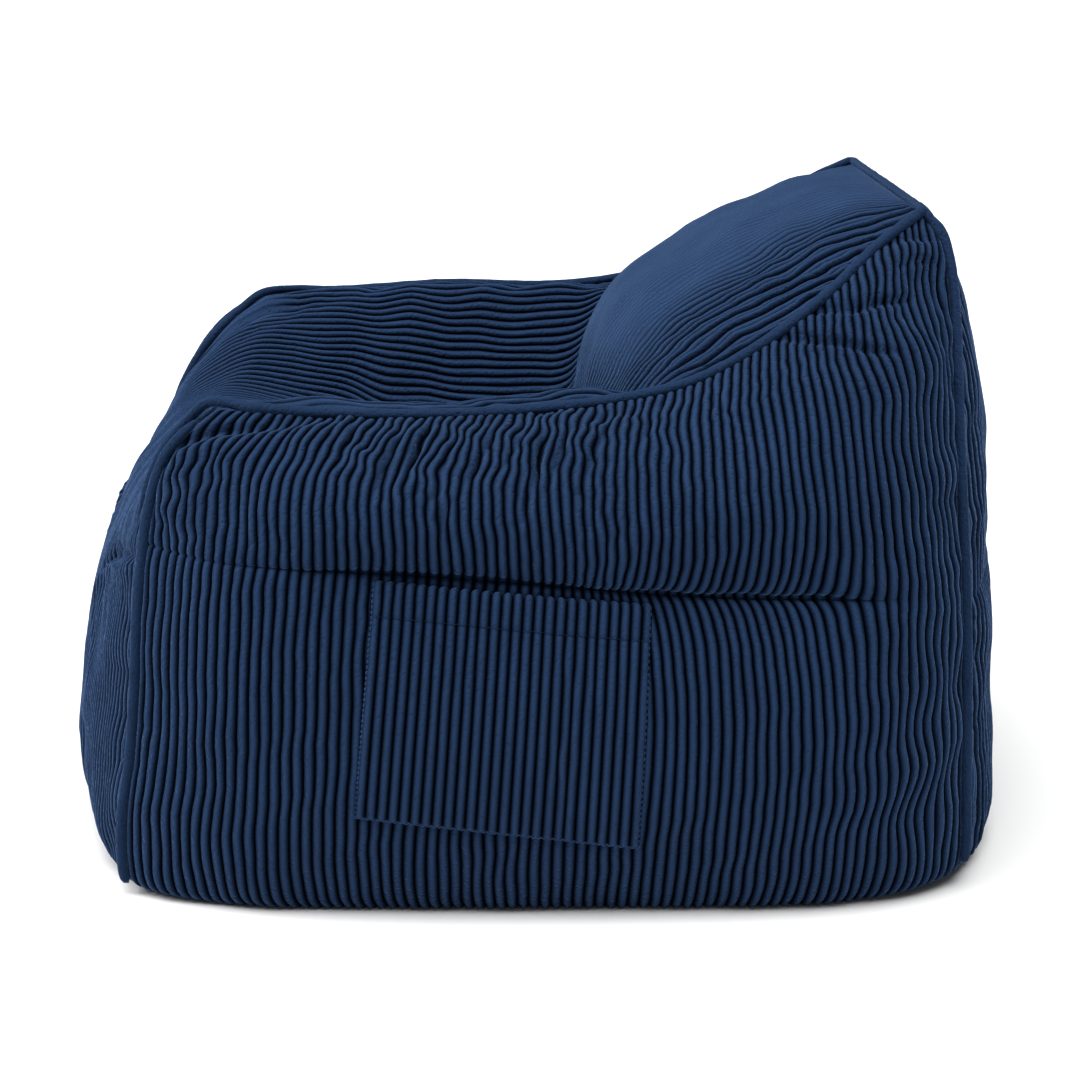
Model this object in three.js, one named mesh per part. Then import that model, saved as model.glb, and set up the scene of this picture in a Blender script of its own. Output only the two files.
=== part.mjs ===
// Pouf armchair: a filled armchair of wide-ribbed corduroy with corded seams and a side pocket.
//
// Millimetres, +Z up, floor at z = 0. The sitter faces -Y and the pocket side is +X.
// The cover has one long centre strip (front, seat, backrest, rear) between two side panels.
// Each side panel is an upper panel and a lower band, joined at a drawn-in level seam.
import * as THREE from 'three';
import { ParametricGeometry } from 'three/addons/geometries/ParametricGeometry.js';
import { mergeGeometries, mergeVertices } from 'three/addons/utils/BufferGeometryUtils.js';

// Driving sizes of the cloth.
const CORD_RADIUS = 5;
const CORD_SIDES = 8;
const CORD_STEP = 27;
const CORD_POINTS = 16;
const CORD_STAND_OFF = 2.8;
const CORD_SIDEWAYS_LEAN = 0.8;
const BACK_CORD_REACH = 0.9;
const BACK_CORD_SETBACK = 3;

// How far the filling swells each side panel, beyond a flat sheet held at its edges.
const FOOT_SPREAD = 36;
const FOOT_SPREAD_BEHIND = 16;
const SEAM_SPREAD = 28;
const LOWER_SWELL = 52;
const UPPER_SWELL = 58;
const FAR_EXTRA_SWELL = 4;
const END_ROUNDNESS = 5;
const SWELL_FULLNESS = 0.72;
const SWELL_LOWNESS = 0.85;
const CORNER_LIFT_SHARPNESS = 7;

// At the front and rear of the level seam, both parts of the side bulge as one.
const ONE_SWELL = 78;
const ONE_SWELL_FULLNESS = 0.6;
const BAND_SHARE = 0.44;
const FLUSH_FRONT = { from: 0.06, to: 0.36 };
const FLUSH_REAR = { from: 0.8, to: 0.97 };
const LEAST_FLUSH = 0.58;
const MOST_FLUSH = 0.92;

// The far front edge has slumped a little further forward than the near one, and the far arm
// stands a little higher behind its middle.
const FAR_SLUMP = 56;
const ARM_TOP = 473;
const FAR_ARM_RISE = 13;
const FAR_RISE_STATION = 1.28;
const FAR_RISE_WIDTH = 0.15;

// The seat is dished between these stations, and its walls stand between these places across.
const DISH_STARTS = { from: 0.72, to: 1.15 };
const DISH_ENDS = { from: 1.46, to: 1.62 };
const DISH_WALL = { from: 0.4, to: 0.92 };
const CROWN_ROUNDNESS = 2.3;

// The rolled crest of each arm, just inside its seam.
const CREST_HEIGHT = 8;
const CREST_WIDTH = 0.2;

// Mesh rows and columns.
const BAND_ROWS = 8;
const PANEL_ROWS = 7;
const SIDE_COLUMNS = 26;
const STRIP_COLUMNS = 20;

// The near seam line in three runs: height z, depth y (back is +) and half width x.
const FRONT_SEAM = [
  { y: -385, z: 6, x: 334 },
  { y: -395, z: 24, x: 339 },
  { y: -394, z: 80, x: 343 },
  { y: -384, z: 140, x: 344 },
  { y: -377, z: 205, x: 344 },
  { y: -371, z: 285, x: 344 },
  { y: -359, z: 370, x: 343 },
  { y: -342, z: 425, x: 342 },
  { y: -313, z: 458, x: 340 },
  { y: -294, z: 473, x: 338 },
];
const TOP_SEAM = [
  { y: -294, z: 473, x: 338 },
  { y: -204, z: 466, x: 343 },
  { y: -94, z: 464, x: 344 },
  { y: 6, z: 469, x: 343 },
  { y: 91, z: 480, x: 340 },
  { y: 146, z: 494, x: 332 },
  { y: 206, z: 523, x: 312 },
  { y: 268, z: 564, x: 284 },
  { y: 318, z: 605, x: 256 },
  { y: 364, z: 632, x: 222 },
];
const REAR_SEAM = [
  { y: 364, z: 632, x: 222 },
  { y: 380, z: 604, x: 240 },
  { y: 387, z: 545, x: 262 },
  { y: 389, z: 440, x: 296 },
  { y: 397, z: 270, x: 326 },
  { y: 401, z: 115, x: 340 },
  { y: 403, z: 35, x: 339 },
  { y: 397, z: 12, x: 334 },
];

// The centre strip along its middle: at counts the seam runs, so 1 is the front corner of the
// arm, 2 the top of the back and 3 the floor behind.
const STRIP_MIDDLE = [
  { at: 0, y: -444, z: 0 },
  { at: 0.08, y: -469, z: 36 },
  { at: 0.2, y: -475, z: 92 },
  { at: 0.35, y: -470, z: 158 },
  { at: 0.5, y: -458, z: 222 },
  { at: 0.65, y: -438, z: 285 },
  { at: 0.8, y: -406, z: 340 },
  { at: 0.92, y: -361, z: 378 },
  { at: 1.0, y: -312, z: 386 },
  { at: 1.12, y: -234, z: 366 },
  { at: 1.23, y: -154, z: 328 },
  { at: 1.33, y: -74, z: 304 },
  { at: 1.42, y: -6, z: 300 },
  { at: 1.49, y: 36, z: 320 },
  { at: 1.54, y: 48, z: 372 },
  { at: 1.59, y: 48, z: 430 },
  { at: 1.65, y: 63, z: 486 },
  { at: 1.71, y: 97, z: 536 },
  { at: 1.79, y: 152, z: 575 },
  { at: 1.87, y: 221, z: 609 },
  { at: 1.94, y: 294, z: 635 },
  { at: 2.0, y: 363, z: 633 },
  { at: 2.06, y: 395, z: 598 },
  { at: 2.14, y: 422, z: 550 },
  { at: 2.25, y: 444, z: 488 },
  { at: 2.38, y: 456, z: 402 },
  { at: 2.53, y: 462, z: 306 },
  { at: 2.68, y: 468, z: 210 },
  { at: 2.86, y: 473, z: 95 },
  { at: 2.95, y: 475, z: 34 },
  { at: 3.0, y: 468, z: 0 },
];

// Each side's cord is in three lengths, by station along the seam.
const CORD_RUNS = [
  { name: 'front', from: 0.02, to: 0.955 },
  { name: 'top', from: 0.985, to: 1.99 },
  { name: 'rear', from: 2.03, to: 2.97 },
];

// Height of the level seam along the side panel, front to back.
const LEVEL_SEAM = [
  { along: 0, z: 347 },
  { along: 0.2, z: 343 },
  { along: 0.4, z: 332 },
  { along: 0.55, z: 318 },
  { along: 0.75, z: 307 },
  { along: 1, z: 297 },
];

// Corners of the pocket on the lower band, front edge first.
const POCKET_CORNERS = [
  { topY: -153, topZ: 333, bottomY: -174, bottomZ: 110 },
  { topY: 96, topZ: 309, bottomY: 87, bottomZ: 77 },
];
const POCKET_CLOTH = 2.5;
const POCKET_OFFSET = 1.2;
const POCKET_MOUTH_START = 0.86;
const POCKET_GAPE = 0.75;
const POCKET_GAPE_FULLNESS = 0.6;
const POCKET_COLUMNS = 12;
const POCKET_ROWS = 12;
const BAND_DEPTH = 790;
const BAND_HEIGHT = 330;

const WELD_DISTANCE = 0.01;
const NAVY = 0x1d3050;
const CORD_NAVY = 0x1a2b49;

const { lerp, smoothstep } = THREE.MathUtils;

function smoothLine(rows) {
  const points = rows.map((row) => new THREE.Vector3(row.x ?? 0, row.y, row.z));
  return new THREE.CatmullRomCurve3(points, false, 'catmullrom', 0.5);
}

const seamRuns = [FRONT_SEAM, TOP_SEAM, REAR_SEAM].map(smoothLine);
const middleLine = smoothLine(STRIP_MIDDLE);
const levelLine = smoothLine(LEVEL_SEAM.map((row) => ({ y: row.along, z: row.z })));

// A point of the seam line on one side (+1 near, -1 far) at station s, 0 to 3.
function seamPoint(side, s) {
  const run = Math.min(Math.floor(s), 2);
  const point = seamRuns[run].getPointAt(s - run);
  if (side < 0) {
    const slump = s < 1 ? FAR_SLUMP * Math.sin(Math.PI * Math.min(point.z / ARM_TOP, 1)) : 0;
    const rise = FAR_ARM_RISE * Math.exp(-(((s - FAR_RISE_STATION) / FAR_RISE_WIDTH) ** 2));
    point.set(-point.x, point.y - slump, point.z + rise);
  }
  return point;
}

// The middle of the centre strip at station s.
function middlePoint(s) {
  const last = STRIP_MIDDLE.length - 2;
  const row = Math.min(STRIP_MIDDLE.findLastIndex((entry) => entry.at <= s), last);
  const from = STRIP_MIDDLE[row].at;
  const part = (s - from) / (STRIP_MIDDLE[row + 1].at - from);
  return middleLine.getPoint((row + part) / (STRIP_MIDDLE.length - 1));
}

// How much of a section is dished seat (1) rather than swelling front, back or rear (0).
function seatShare(s) {
  const started = smoothstep(s, DISH_STARTS.from, DISH_STARTS.to);
  return started * (1 - smoothstep(s, DISH_ENDS.from, DISH_ENDS.to));
}

// The strip's cross section: 0 at the seams (across = -1 or 1) and 1 at the middle.
function sectionShape(s, across) {
  const out = Math.abs(across);
  const swell = 1 - out ** CROWN_ROUNDNESS;
  const dish = 1 - smoothstep(out, DISH_WALL.from, DISH_WALL.to);
  return lerp(swell, dish, seatShare(s));
}

function stripPoint(s, across) {
  const near = seamPoint(1, s);
  const far = seamPoint(-1, s);
  const chord = far.clone().lerp(near, (1 + across) / 2);
  const middle = far.add(near).multiplyScalar(0.5);
  const lift = middlePoint(s).sub(middle).multiplyScalar(sectionShape(s, across));
  const point = chord.add(lift);
  const crest = Math.min((1 - Math.abs(across)) / CREST_WIDTH, 1);
  point.z += CREST_HEIGHT * seatShare(s) * Math.sin(Math.PI * crest) ** 2;
  return point;
}

// Fullness along the side panel: 0 at its front and rear seams, 1 between.
function endShape(along) {
  return 1 - Math.abs(2 * along - 1) ** END_ROUNDNESS;
}

function bottomPoint(side, along) {
  const front = seamPoint(side, 0);
  const rear = seamPoint(side, 3);
  const lift = lerp(front.z, rear.z, along) * Math.abs(2 * along - 1) ** CORNER_LIFT_SHARPNESS;
  const point = front.lerp(rear, along);
  const spread = FOOT_SPREAD + FOOT_SPREAD_BEHIND * along;
  return point.setX(point.x + side * spread * endShape(along)).setZ(lift);
}

// Stations where the level seam meets the front and rear seams.
function stationAtHeight(run, height) {
  let low = 0;
  let high = 1;
  for (let step = 0; step < 30; step += 1) {
    const middle = (low + high) / 2;
    const isAbove = seamRuns[run].getPointAt(middle).z > height;
    const risesWithStation = run === 0;
    if (isAbove === risesWithStation) high = middle;
    else low = middle;
  }
  return run + low;
}
const FRONT_JOIN = stationAtHeight(0, LEVEL_SEAM[0].z);
const REAR_JOIN = stationAtHeight(2, LEVEL_SEAM[LEVEL_SEAM.length - 1].z);

function levelPoint(side, along) {
  const front = seamPoint(side, FRONT_JOIN);
  const rear = seamPoint(side, REAR_JOIN);
  const height = levelLine.getPoint(along).z;
  const isEnd = along === 0 || along === 1;
  const point = front.lerp(rear, along);
  return point.setX(point.x + side * SEAM_SPREAD * endShape(along)).setZ(isEnd ? point.z : height);
}

// A patch between four edges: bottom and top run front to back, front and rear run upwards.
function patchPoint(edges, along, up) {
  const bottom = edges.bottom(along);
  const top = edges.top(along);
  const front = edges.front(up);
  const rear = edges.rear(up);
  const ruled = bottom.clone().lerp(top, up).add(front.clone().lerp(rear, along));
  const low = edges.bottom(0).lerp(edges.bottom(1), along);
  const high = edges.top(0).lerp(edges.top(1), along);
  return ruled.sub(low.lerp(high, up));
}

// The side panel's two parts. Each swells outwards between its seams.
function swellOutwards(point, side, along, most, shape) {
  const swell = most + (side < 0 ? FAR_EXTRA_SWELL : 0);
  const share = endShape(along) * Math.sin(Math.PI * shape) ** SWELL_FULLNESS;
  return point.setX(point.x + side * swell * share);
}

// 1 where both parts of the side bulge as one, and 0 where the level seam is drawn in.
function flushShare(along) {
  const front = 1 - smoothstep(along, FLUSH_FRONT.from, FLUSH_FRONT.to);
  return front + smoothstep(along, FLUSH_REAR.from, FLUSH_REAR.to);
}

// How far sideways a seam stands at one station from the straight line between two others.
function seamBow(side, station, low, high, height) {
  const ends = lerp(seamPoint(side, low).x, seamPoint(side, high).x, height);
  return seamPoint(side, station).x - ends;
}

// Moves a point of the side towards the bulge that the whole side would have as one panel.
function towardsOneBulge(point, side, along, height, inFront, behind) {
  if (along <= 0 || along >= 1) return point;
  const flat = lerp(bottomPoint(side, along).x, seamPoint(side, 1 + along).x, height);
  const bowInFront = seamBow(side, inFront, 0, 1, height);
  const bowBehind = seamBow(side, behind, 3, 2, height);
  const fullness = Math.max(Math.sin(Math.PI * height), 0) ** ONE_SWELL_FULLNESS;
  const bulge = side * ONE_SWELL * endShape(along) * fullness;
  const share = lerp(LEAST_FLUSH, MOST_FLUSH, flushShare(along));
  return point.setX(lerp(point.x, flat + lerp(bowInFront, bowBehind, along) + bulge, share));
}

function lowerBandPoint(side, along, up) {
  const inFront = FRONT_JOIN * up;
  const behind = 3 - (3 - REAR_JOIN) * up;
  const edges = {
    bottom: (t) => bottomPoint(side, t),
    top: (t) => levelPoint(side, t),
    front: (t) => seamPoint(side, FRONT_JOIN * t),
    rear: (t) => seamPoint(side, 3 - (3 - REAR_JOIN) * t),
  };
  const flat = patchPoint(edges, along, up);
  const point = swellOutwards(flat, side, along, LOWER_SWELL, up);
  return towardsOneBulge(point, side, along, up * BAND_SHARE, inFront, behind);
}

function upperPanelPoint(side, along, up) {
  const inFront = FRONT_JOIN + (1 - FRONT_JOIN) * up;
  const behind = REAR_JOIN - (REAR_JOIN - 2) * up;
  const edges = {
    bottom: (t) => levelPoint(side, t),
    top: (t) => seamPoint(side, 1 + t),
    front: (t) => seamPoint(side, FRONT_JOIN + (1 - FRONT_JOIN) * t),
    rear: (t) => seamPoint(side, REAR_JOIN - (REAR_JOIN - 2) * t),
  };
  const flat = patchPoint(edges, along, up);
  const point = swellOutwards(flat, side, along, UPPER_SWELL, up ** SWELL_LOWNESS);
  const height = BAND_SHARE + up * (1 - BAND_SHARE);
  return towardsOneBulge(point, side, along, height, inFront, behind);
}

// The flat underside, rolled up a little at its rim to meet the panels.
function basePoint(across, along) {
  const edges = {
    bottom: (t) => stripPoint(0, 2 * t - 1),
    top: (t) => stripPoint(3, 2 * t - 1),
    front: (t) => bottomPoint(-1, t),
    rear: (t) => bottomPoint(1, t),
  };
  const point = patchPoint(edges, across, along);
  const isRim = across === 0 || across === 1 || along === 0 || along === 1;
  return point.setZ(isRim ? point.z : 0);
}

// Strip stations: rows match those of the side panels along each shared seam.
function stripStations() {
  const steps = (from, to, count) =>
    Array.from({ length: count }, (_, row) => lerp(from, to, row / count));
  return [
    ...steps(0, FRONT_JOIN, BAND_ROWS),
    ...steps(FRONT_JOIN, 1, PANEL_ROWS),
    ...steps(1, 2, SIDE_COLUMNS),
    ...steps(2, REAR_JOIN, PANEL_ROWS),
    ...steps(REAR_JOIN, 3, BAND_ROWS),
    3,
  ];
}

// Columns across the strip, closer together towards the seams.
function spreadAcross(part) {
  return Math.sin((Math.PI / 2) * (2 * part - 1));
}

function sheet(place, columns, rows) {
  const write = (u, v, target) => target.copy(place(u, v));
  const geometry = new ParametricGeometry(write, columns, rows);
  geometry.deleteAttribute('uv');
  geometry.deleteAttribute('normal');
  return geometry;
}

function bodyGeometry() {
  const stations = stripStations();
  const stripRows = stations.length - 1;
  const onStrip = (u, v) => stripPoint(stations[Math.round(v * stripRows)], spreadAcross(u));
  const patches = [
    sheet(onStrip, STRIP_COLUMNS, stripRows),
    sheet((u, v) => basePoint((1 - spreadAcross(u)) / 2, v), STRIP_COLUMNS, SIDE_COLUMNS),
  ];
  for (const side of [1, -1]) {
    const turned = (u) => (side > 0 ? u : 1 - u);
    patches.push(
      sheet((u, v) => lowerBandPoint(side, turned(u), v), SIDE_COLUMNS, BAND_ROWS),
      sheet((u, v) => upperPanelPoint(side, turned(u), v), SIDE_COLUMNS, PANEL_ROWS),
    );
  }
  return mergeVertices(mergeGeometries(patches), WELD_DISTANCE);
}

// A cord lies on the outside of its seam, proud of both cloths.
function cordPoint(side, s) {
  const step = 0.002;
  const before = seamPoint(side, Math.max(s - step, 0));
  const after = seamPoint(side, Math.min(s + step, 3));
  const run = after.sub(before).normalize();
  const outward = new THREE.Vector3(0, -run.z, run.y).normalize();
  outward.x = side * CORD_SIDEWAYS_LEAN;
  return seamPoint(side, s).addScaledVector(outward.normalize(), CORD_RADIUS + CORD_STAND_OFF);
}

function cordGeometry(points) {
  const path = new THREE.CatmullRomCurve3(points, false, 'catmullrom', 0.5);
  const section = new THREE.Shape();
  for (let side = 0; side < CORD_SIDES; side += 1) {
    const angle = (2 * Math.PI * side) / CORD_SIDES;
    const draw = side ? 'lineTo' : 'moveTo';
    section[draw](CORD_RADIUS * Math.cos(angle), CORD_RADIUS * Math.sin(angle));
  }
  section.closePath();
  const steps = Math.round(path.getLength() / CORD_STEP);
  return new THREE.ExtrudeGeometry(section, { steps, extrudePath: path, bevelEnabled: false });
}

function seamCord(side, from, to) {
  const points = Array.from({ length: CORD_POINTS }, (_, index) =>
    cordPoint(side, lerp(from, to, index / (CORD_POINTS - 1))));
  return cordGeometry(points);
}

// The cord across the top of the back, between the two side seams.
function backTopCord() {
  const lift = new THREE.Vector3(0, BACK_CORD_SETBACK, CORD_RADIUS + CORD_STAND_OFF);
  const points = [-1, -0.5, 0, 0.5, 1].map((part) =>
    stripPoint(2, part * BACK_CORD_REACH).add(lift));
  return cordGeometry(points);
}

// Finds the lower band's point at a given depth and height, by repeated correction.
function bandPointAt(y, z) {
  let along = 0.5;
  let up = 0.5;
  for (let step = 0; step < 12; step += 1) {
    const point = lowerBandPoint(1, along, up);
    along += (y - point.y) / BAND_DEPTH;
    up += (z - point.z) / BAND_HEIGHT;
  }
  return { along, up };
}

// The pocket: a patch that follows the band and gapes a little at its mouth.
function pocketPoint(across, up, thickness) {
  const [front, rear] = POCKET_CORNERS;
  const corner = (key) => lerp(front[key], rear[key], across);
  const y = lerp(corner('bottomY'), corner('topY'), up);
  const z = lerp(corner('bottomZ'), corner('topZ'), up);
  const place = bandPointAt(y, z);
  const level = Math.min(place.up, POCKET_MOUTH_START);
  const onBand = lowerBandPoint(1, place.along, place.up);
  const proud = lowerBandPoint(1, place.along, level);
  const gape = POCKET_GAPE * Math.sin(Math.PI * across) ** POCKET_GAPE_FULLNESS;
  const x = lerp(onBand.x, Math.max(onBand.x, proud.x), gape);
  return new THREE.Vector3(x + POCKET_OFFSET + thickness, y, z);
}

function pocketGeometry() {
  const wall = (first, second, columns) =>
    sheet((u, v) => (v < 0.5 ? first(u) : second(u)), columns, 1);
  const inner = (a, b) => pocketPoint(a, b, 0);
  const outer = (a, b) => pocketPoint(a, b, POCKET_CLOTH);
  const patches = [
    sheet(outer, POCKET_COLUMNS, POCKET_ROWS),
    sheet((u, v) => inner(1 - u, v), POCKET_COLUMNS, POCKET_ROWS),
    wall((u) => inner(u, 0), (u) => outer(u, 0), POCKET_COLUMNS),
    wall((u) => outer(u, 1), (u) => inner(u, 1), POCKET_COLUMNS),
    wall((u) => outer(0, u), (u) => inner(0, u), POCKET_ROWS),
    wall((u) => inner(1, u), (u) => outer(1, u), POCKET_ROWS),
  ];
  return mergeVertices(mergeGeometries(patches), WELD_DISTANCE);
}

// Navy corduroy; the cords are the same cloth, wound tight, and look a little darker.
function cloth(colour) {
  return new THREE.MeshStandardMaterial({ color: colour, roughness: 0.9, metalness: 0 });
}

const group = new THREE.Group();
function add(name, geometry, colour) {
  const mesh = new THREE.Mesh(geometry, cloth(colour));
  mesh.name = name;
  group.add(mesh);
}

add('filled_body', bodyGeometry(), NAVY);
add('side_pocket', pocketGeometry(), NAVY);
for (const [sideName, side] of [['near', 1], ['far', -1]]) {
  for (const { name, from, to } of CORD_RUNS) {
    add(`${sideName}_${name}_cord`, seamCord(side, from, to), CORD_NAVY);
  }
}
add('back_top_cord', backTopCord(), CORD_NAVY);

export default group;
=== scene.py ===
# %% [markdown]
# # A pouf armchair in navy corduroy
# The chair is a loose-filled cushion with the shape of an armchair. A tailor would cut two side
# panels and one long strip that runs up the front, over the seat, up the backrest and down the
# rear, and would sew them together over round cords. The script builds those same pieces around
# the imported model, in metres, with the floor at z = 0 and the sitter facing -Y.

import math

import bmesh
import bpy
import numpy as np
from mathutils import Matrix, Vector
from mathutils.kdtree import KDTree


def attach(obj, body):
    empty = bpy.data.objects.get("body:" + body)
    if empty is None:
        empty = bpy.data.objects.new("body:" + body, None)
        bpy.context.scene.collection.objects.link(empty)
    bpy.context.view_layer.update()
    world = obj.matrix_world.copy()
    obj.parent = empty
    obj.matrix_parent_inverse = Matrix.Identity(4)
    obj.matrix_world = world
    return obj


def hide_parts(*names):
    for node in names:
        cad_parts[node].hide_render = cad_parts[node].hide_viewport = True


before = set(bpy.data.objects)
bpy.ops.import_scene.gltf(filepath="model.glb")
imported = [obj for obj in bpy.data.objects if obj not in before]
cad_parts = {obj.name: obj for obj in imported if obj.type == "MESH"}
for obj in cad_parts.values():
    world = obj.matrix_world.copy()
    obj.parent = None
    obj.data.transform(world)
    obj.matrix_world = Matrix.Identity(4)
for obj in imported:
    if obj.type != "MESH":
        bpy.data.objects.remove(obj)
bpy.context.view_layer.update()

# %% [markdown]
# ## Seam lines
# Everything hangs on four lines: the near seam in three runs, and the middle of the strip. Each
# is a short list of places that a smooth curve passes through, as a pattern cutter marks a curve
# with a few pins. The far seam is the near one mirrored, with its front corner slumped forward.

# %% Smooth curves through a few rows
def smooth_line(rows):
    """A Catmull-Rom curve through the rows, as a function of the share from 0 to 1."""
    points = np.array(rows, float)
    before = 2 * points[:1] - points[1:2]
    after = 2 * points[-1:] - points[-2:-1]
    guided = np.vstack([before, points, after])

    def at(share):
        place = np.clip(share, 0, 1) * (len(points) - 1)
        step = np.minimum(place.astype(int), len(points) - 2)
        t = (place - step)[..., None]
        p0, p1, p2, p3 = (guided[step + k] for k in range(4))
        straight = p1 + 0.5 * t * (p2 - p0)
        bend = 0.5 * t**2 * (2 * p0 - 5 * p1 + 4 * p2 - p3)
        twist = 0.5 * t**3 * (3 * (p1 - p2) + p3 - p0)
        return straight + bend + twist

    return at


def running_length(points):
    """The length of a line of points up to each of them, along the first axis."""
    steps = np.linalg.norm(np.diff(points, axis=0), axis=-1)
    return np.concatenate([np.zeros_like(steps[:1]), np.cumsum(steps, axis=0)])


def evened(line, count=600):
    """The same curve, with equal shares for equal lengths."""
    shares = np.linspace(0, 1, count)
    length = running_length(line(shares))
    return lambda share: line(np.interp(share, length / length[-1], shares))


# %% Shares that rise and fall
TINY = 1e-12


def smoothstep(value, start, end):
    t = np.clip((value - start) / (end - start), 0, 1)
    return t * t * (3 - 2 * t)


def window(value, rise, fall):
    """1 between a rise and a fall, which are each given by their start and end."""
    return smoothstep(value, *rise) * (1 - smoothstep(value, *fall))


def arch(share, fullness):
    """0 at both ends of the share and 1 at its middle; a low fullness makes it flat-topped."""
    return np.sin(np.pi * np.clip(share, 0, 1)) ** fullness


def bell(distance, width):
    return np.exp(-(distance / width) ** 2)


def mixed(first, second, share):
    return first + (second - first) * share


def unit(vectors):
    return vectors / np.maximum(np.linalg.norm(vectors, axis=-1, keepdims=True), TINY)


# %% The near seam: rows of x, y, z in metres
FRONT_SEAM = [
    (0.334, -0.385, 0.006), (0.339, -0.395, 0.024), (0.343, -0.394, 0.080), (0.344, -0.384, 0.140),
    (0.344, -0.377, 0.205), (0.344, -0.371, 0.285), (0.343, -0.359, 0.370), (0.342, -0.342, 0.425),
    (0.340, -0.313, 0.458), (0.338, -0.294, 0.473),
]
TOP_SEAM = [
    (0.338, -0.294, 0.473), (0.343, -0.204, 0.466), (0.344, -0.094, 0.464), (0.343, 0.006, 0.469),
    (0.340, 0.091, 0.480), (0.332, 0.146, 0.494), (0.312, 0.206, 0.523), (0.284, 0.268, 0.564),
    (0.256, 0.318, 0.605), (0.222, 0.364, 0.632),
]
REAR_SEAM = [
    (0.222, 0.364, 0.632), (0.240, 0.380, 0.604), (0.262, 0.387, 0.545), (0.296, 0.389, 0.440),
    (0.326, 0.397, 0.270), (0.340, 0.401, 0.115), (0.339, 0.403, 0.035), (0.334, 0.397, 0.012),
]
SEAM_RUNS = [evened(smooth_line(rows)) for rows in (FRONT_SEAM, TOP_SEAM, REAR_SEAM)]
FAR_SLUMP = 0.056
ARM_TOP = 0.473
FAR_ARM_RISE = 0.013
FAR_RISE_STATION = 1.28
FAR_RISE_WIDTH = 0.15


def seam_point(side, station):
    """A point of a side's seam (+1 near, -1 far): station 0 to 1 front, to 2 top, to 3 rear."""
    station = np.asarray(station, float)
    run = np.clip(np.floor(station), 0, 2)
    point = np.zeros(station.shape + (3,))
    for number, line in enumerate(SEAM_RUNS):
        here = run == number
        point[here] = line(station[here] - number)
    if side < 0:
        point[..., 0] *= -1
        height = np.minimum(point[..., 2] / ARM_TOP, 1)
        point[..., 1] -= np.where(station < 1, FAR_SLUMP * np.sin(np.pi * height), 0)
        point[..., 2] += FAR_ARM_RISE * bell(station - FAR_RISE_STATION, FAR_RISE_WIDTH)
    return point


run_lengths = [running_length(line(np.linspace(0, 1, 200)))[-1] for line in SEAM_RUNS]
print("near seam, front, top and rear:", np.round(run_lengths, 3), "m")

# %% The middle of the centre strip: rows of station, y, z
STRIP_MIDDLE = [
    (0, -0.444, 0), (0.08, -0.469, 0.036), (0.2, -0.475, 0.092), (0.35, -0.470, 0.158),
    (0.5, -0.458, 0.222), (0.65, -0.438, 0.285), (0.8, -0.406, 0.340), (0.92, -0.361, 0.378),
    (1.0, -0.312, 0.386), (1.12, -0.234, 0.366), (1.23, -0.154, 0.328), (1.33, -0.074, 0.304),
    (1.42, -0.006, 0.300), (1.49, 0.036, 0.320), (1.54, 0.048, 0.372), (1.59, 0.048, 0.430),
    (1.65, 0.063, 0.486), (1.71, 0.097, 0.536), (1.79, 0.152, 0.575), (1.87, 0.221, 0.609),
    (1.94, 0.294, 0.635), (2.0, 0.363, 0.633), (2.06, 0.395, 0.598), (2.14, 0.422, 0.550),
    (2.25, 0.444, 0.488), (2.38, 0.456, 0.402), (2.53, 0.462, 0.306), (2.68, 0.468, 0.210),
    (2.86, 0.473, 0.095), (2.95, 0.475, 0.034), (3.0, 0.468, 0),
]
MIDDLE_STATIONS = np.array([row[0] for row in STRIP_MIDDLE], float)
MIDDLE_LINE = smooth_line([(0, y, z) for _, y, z in STRIP_MIDDLE])


def middle_point(station):
    row = np.interp(station, MIDDLE_STATIONS, np.arange(len(MIDDLE_STATIONS)))
    return MIDDLE_LINE(row / (len(MIDDLE_STATIONS) - 1))


# %% [markdown]
# ## The filled shape
# A cushion is full in the middle of each panel and drawn in at its seams. The strip is a curved
# section stretched between the two seams: a crown at the front and rear, and a dish in the seat.
# Each side panel is a patch between four edges, with the swell of the filling added sideways.

# %% The strip's surface
DISH_RISE = (0.72, 1.15)
DISH_FALL = (1.46, 1.62)
DISH_WALL = (0.4, 0.92)
CROWN_ROUNDNESS = 2.3
CREST_HEIGHT = 0.008
CREST_WIDTH = 0.2


def strip_point(station, across):
    """A point of the centre strip: across is -1 at the far seam and 1 at the near one."""
    station, across = np.broadcast_arrays(station, across)
    near, far = seam_point(1, station), seam_point(-1, station)
    out, dish = np.abs(across), window(station, DISH_RISE, DISH_FALL)
    section = mixed(1 - out**CROWN_ROUNDNESS, 1 - smoothstep(out, *DISH_WALL), dish)
    lift = (middle_point(station) - (near + far) / 2) * section[..., None]
    point = mixed(far, near, ((1 + across) / 2)[..., None]) + lift
    point[..., 2] += CREST_HEIGHT * dish * arch((1 - out) / CREST_WIDTH, 2)
    return point


# %% The side panels' edges
FOOT_SPREAD = 0.036
FOOT_SPREAD_BEHIND = 0.016
SEAM_SPREAD = 0.028
END_ROUNDNESS = 5
CORNER_LIFT_SHARPNESS = 7
LEVEL_SEAM = [(0, 0.347), (0.2, 0.343), (0.4, 0.332), (0.55, 0.318), (0.75, 0.307), (1, 0.297)]
LEVEL_LINE = smooth_line(LEVEL_SEAM)


def station_at_height(run, height):
    """Where the front (0) or rear (2) seam reaches a height."""
    shares = np.linspace(0, 1, 2000)
    heights = SEAM_RUNS[run](shares)[:, 2]
    order = 1 if run == 0 else -1
    return run + float(np.interp(height, heights[::order], shares[::order]))


FRONT_JOIN = station_at_height(0, LEVEL_SEAM[0][1])
REAR_JOIN = station_at_height(2, LEVEL_SEAM[-1][1])


def end_shape(along):
    """Fullness along a side panel: 0 at its front and rear seams, 1 between."""
    return 1 - np.abs(2 * along - 1) ** END_ROUNDNESS


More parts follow.
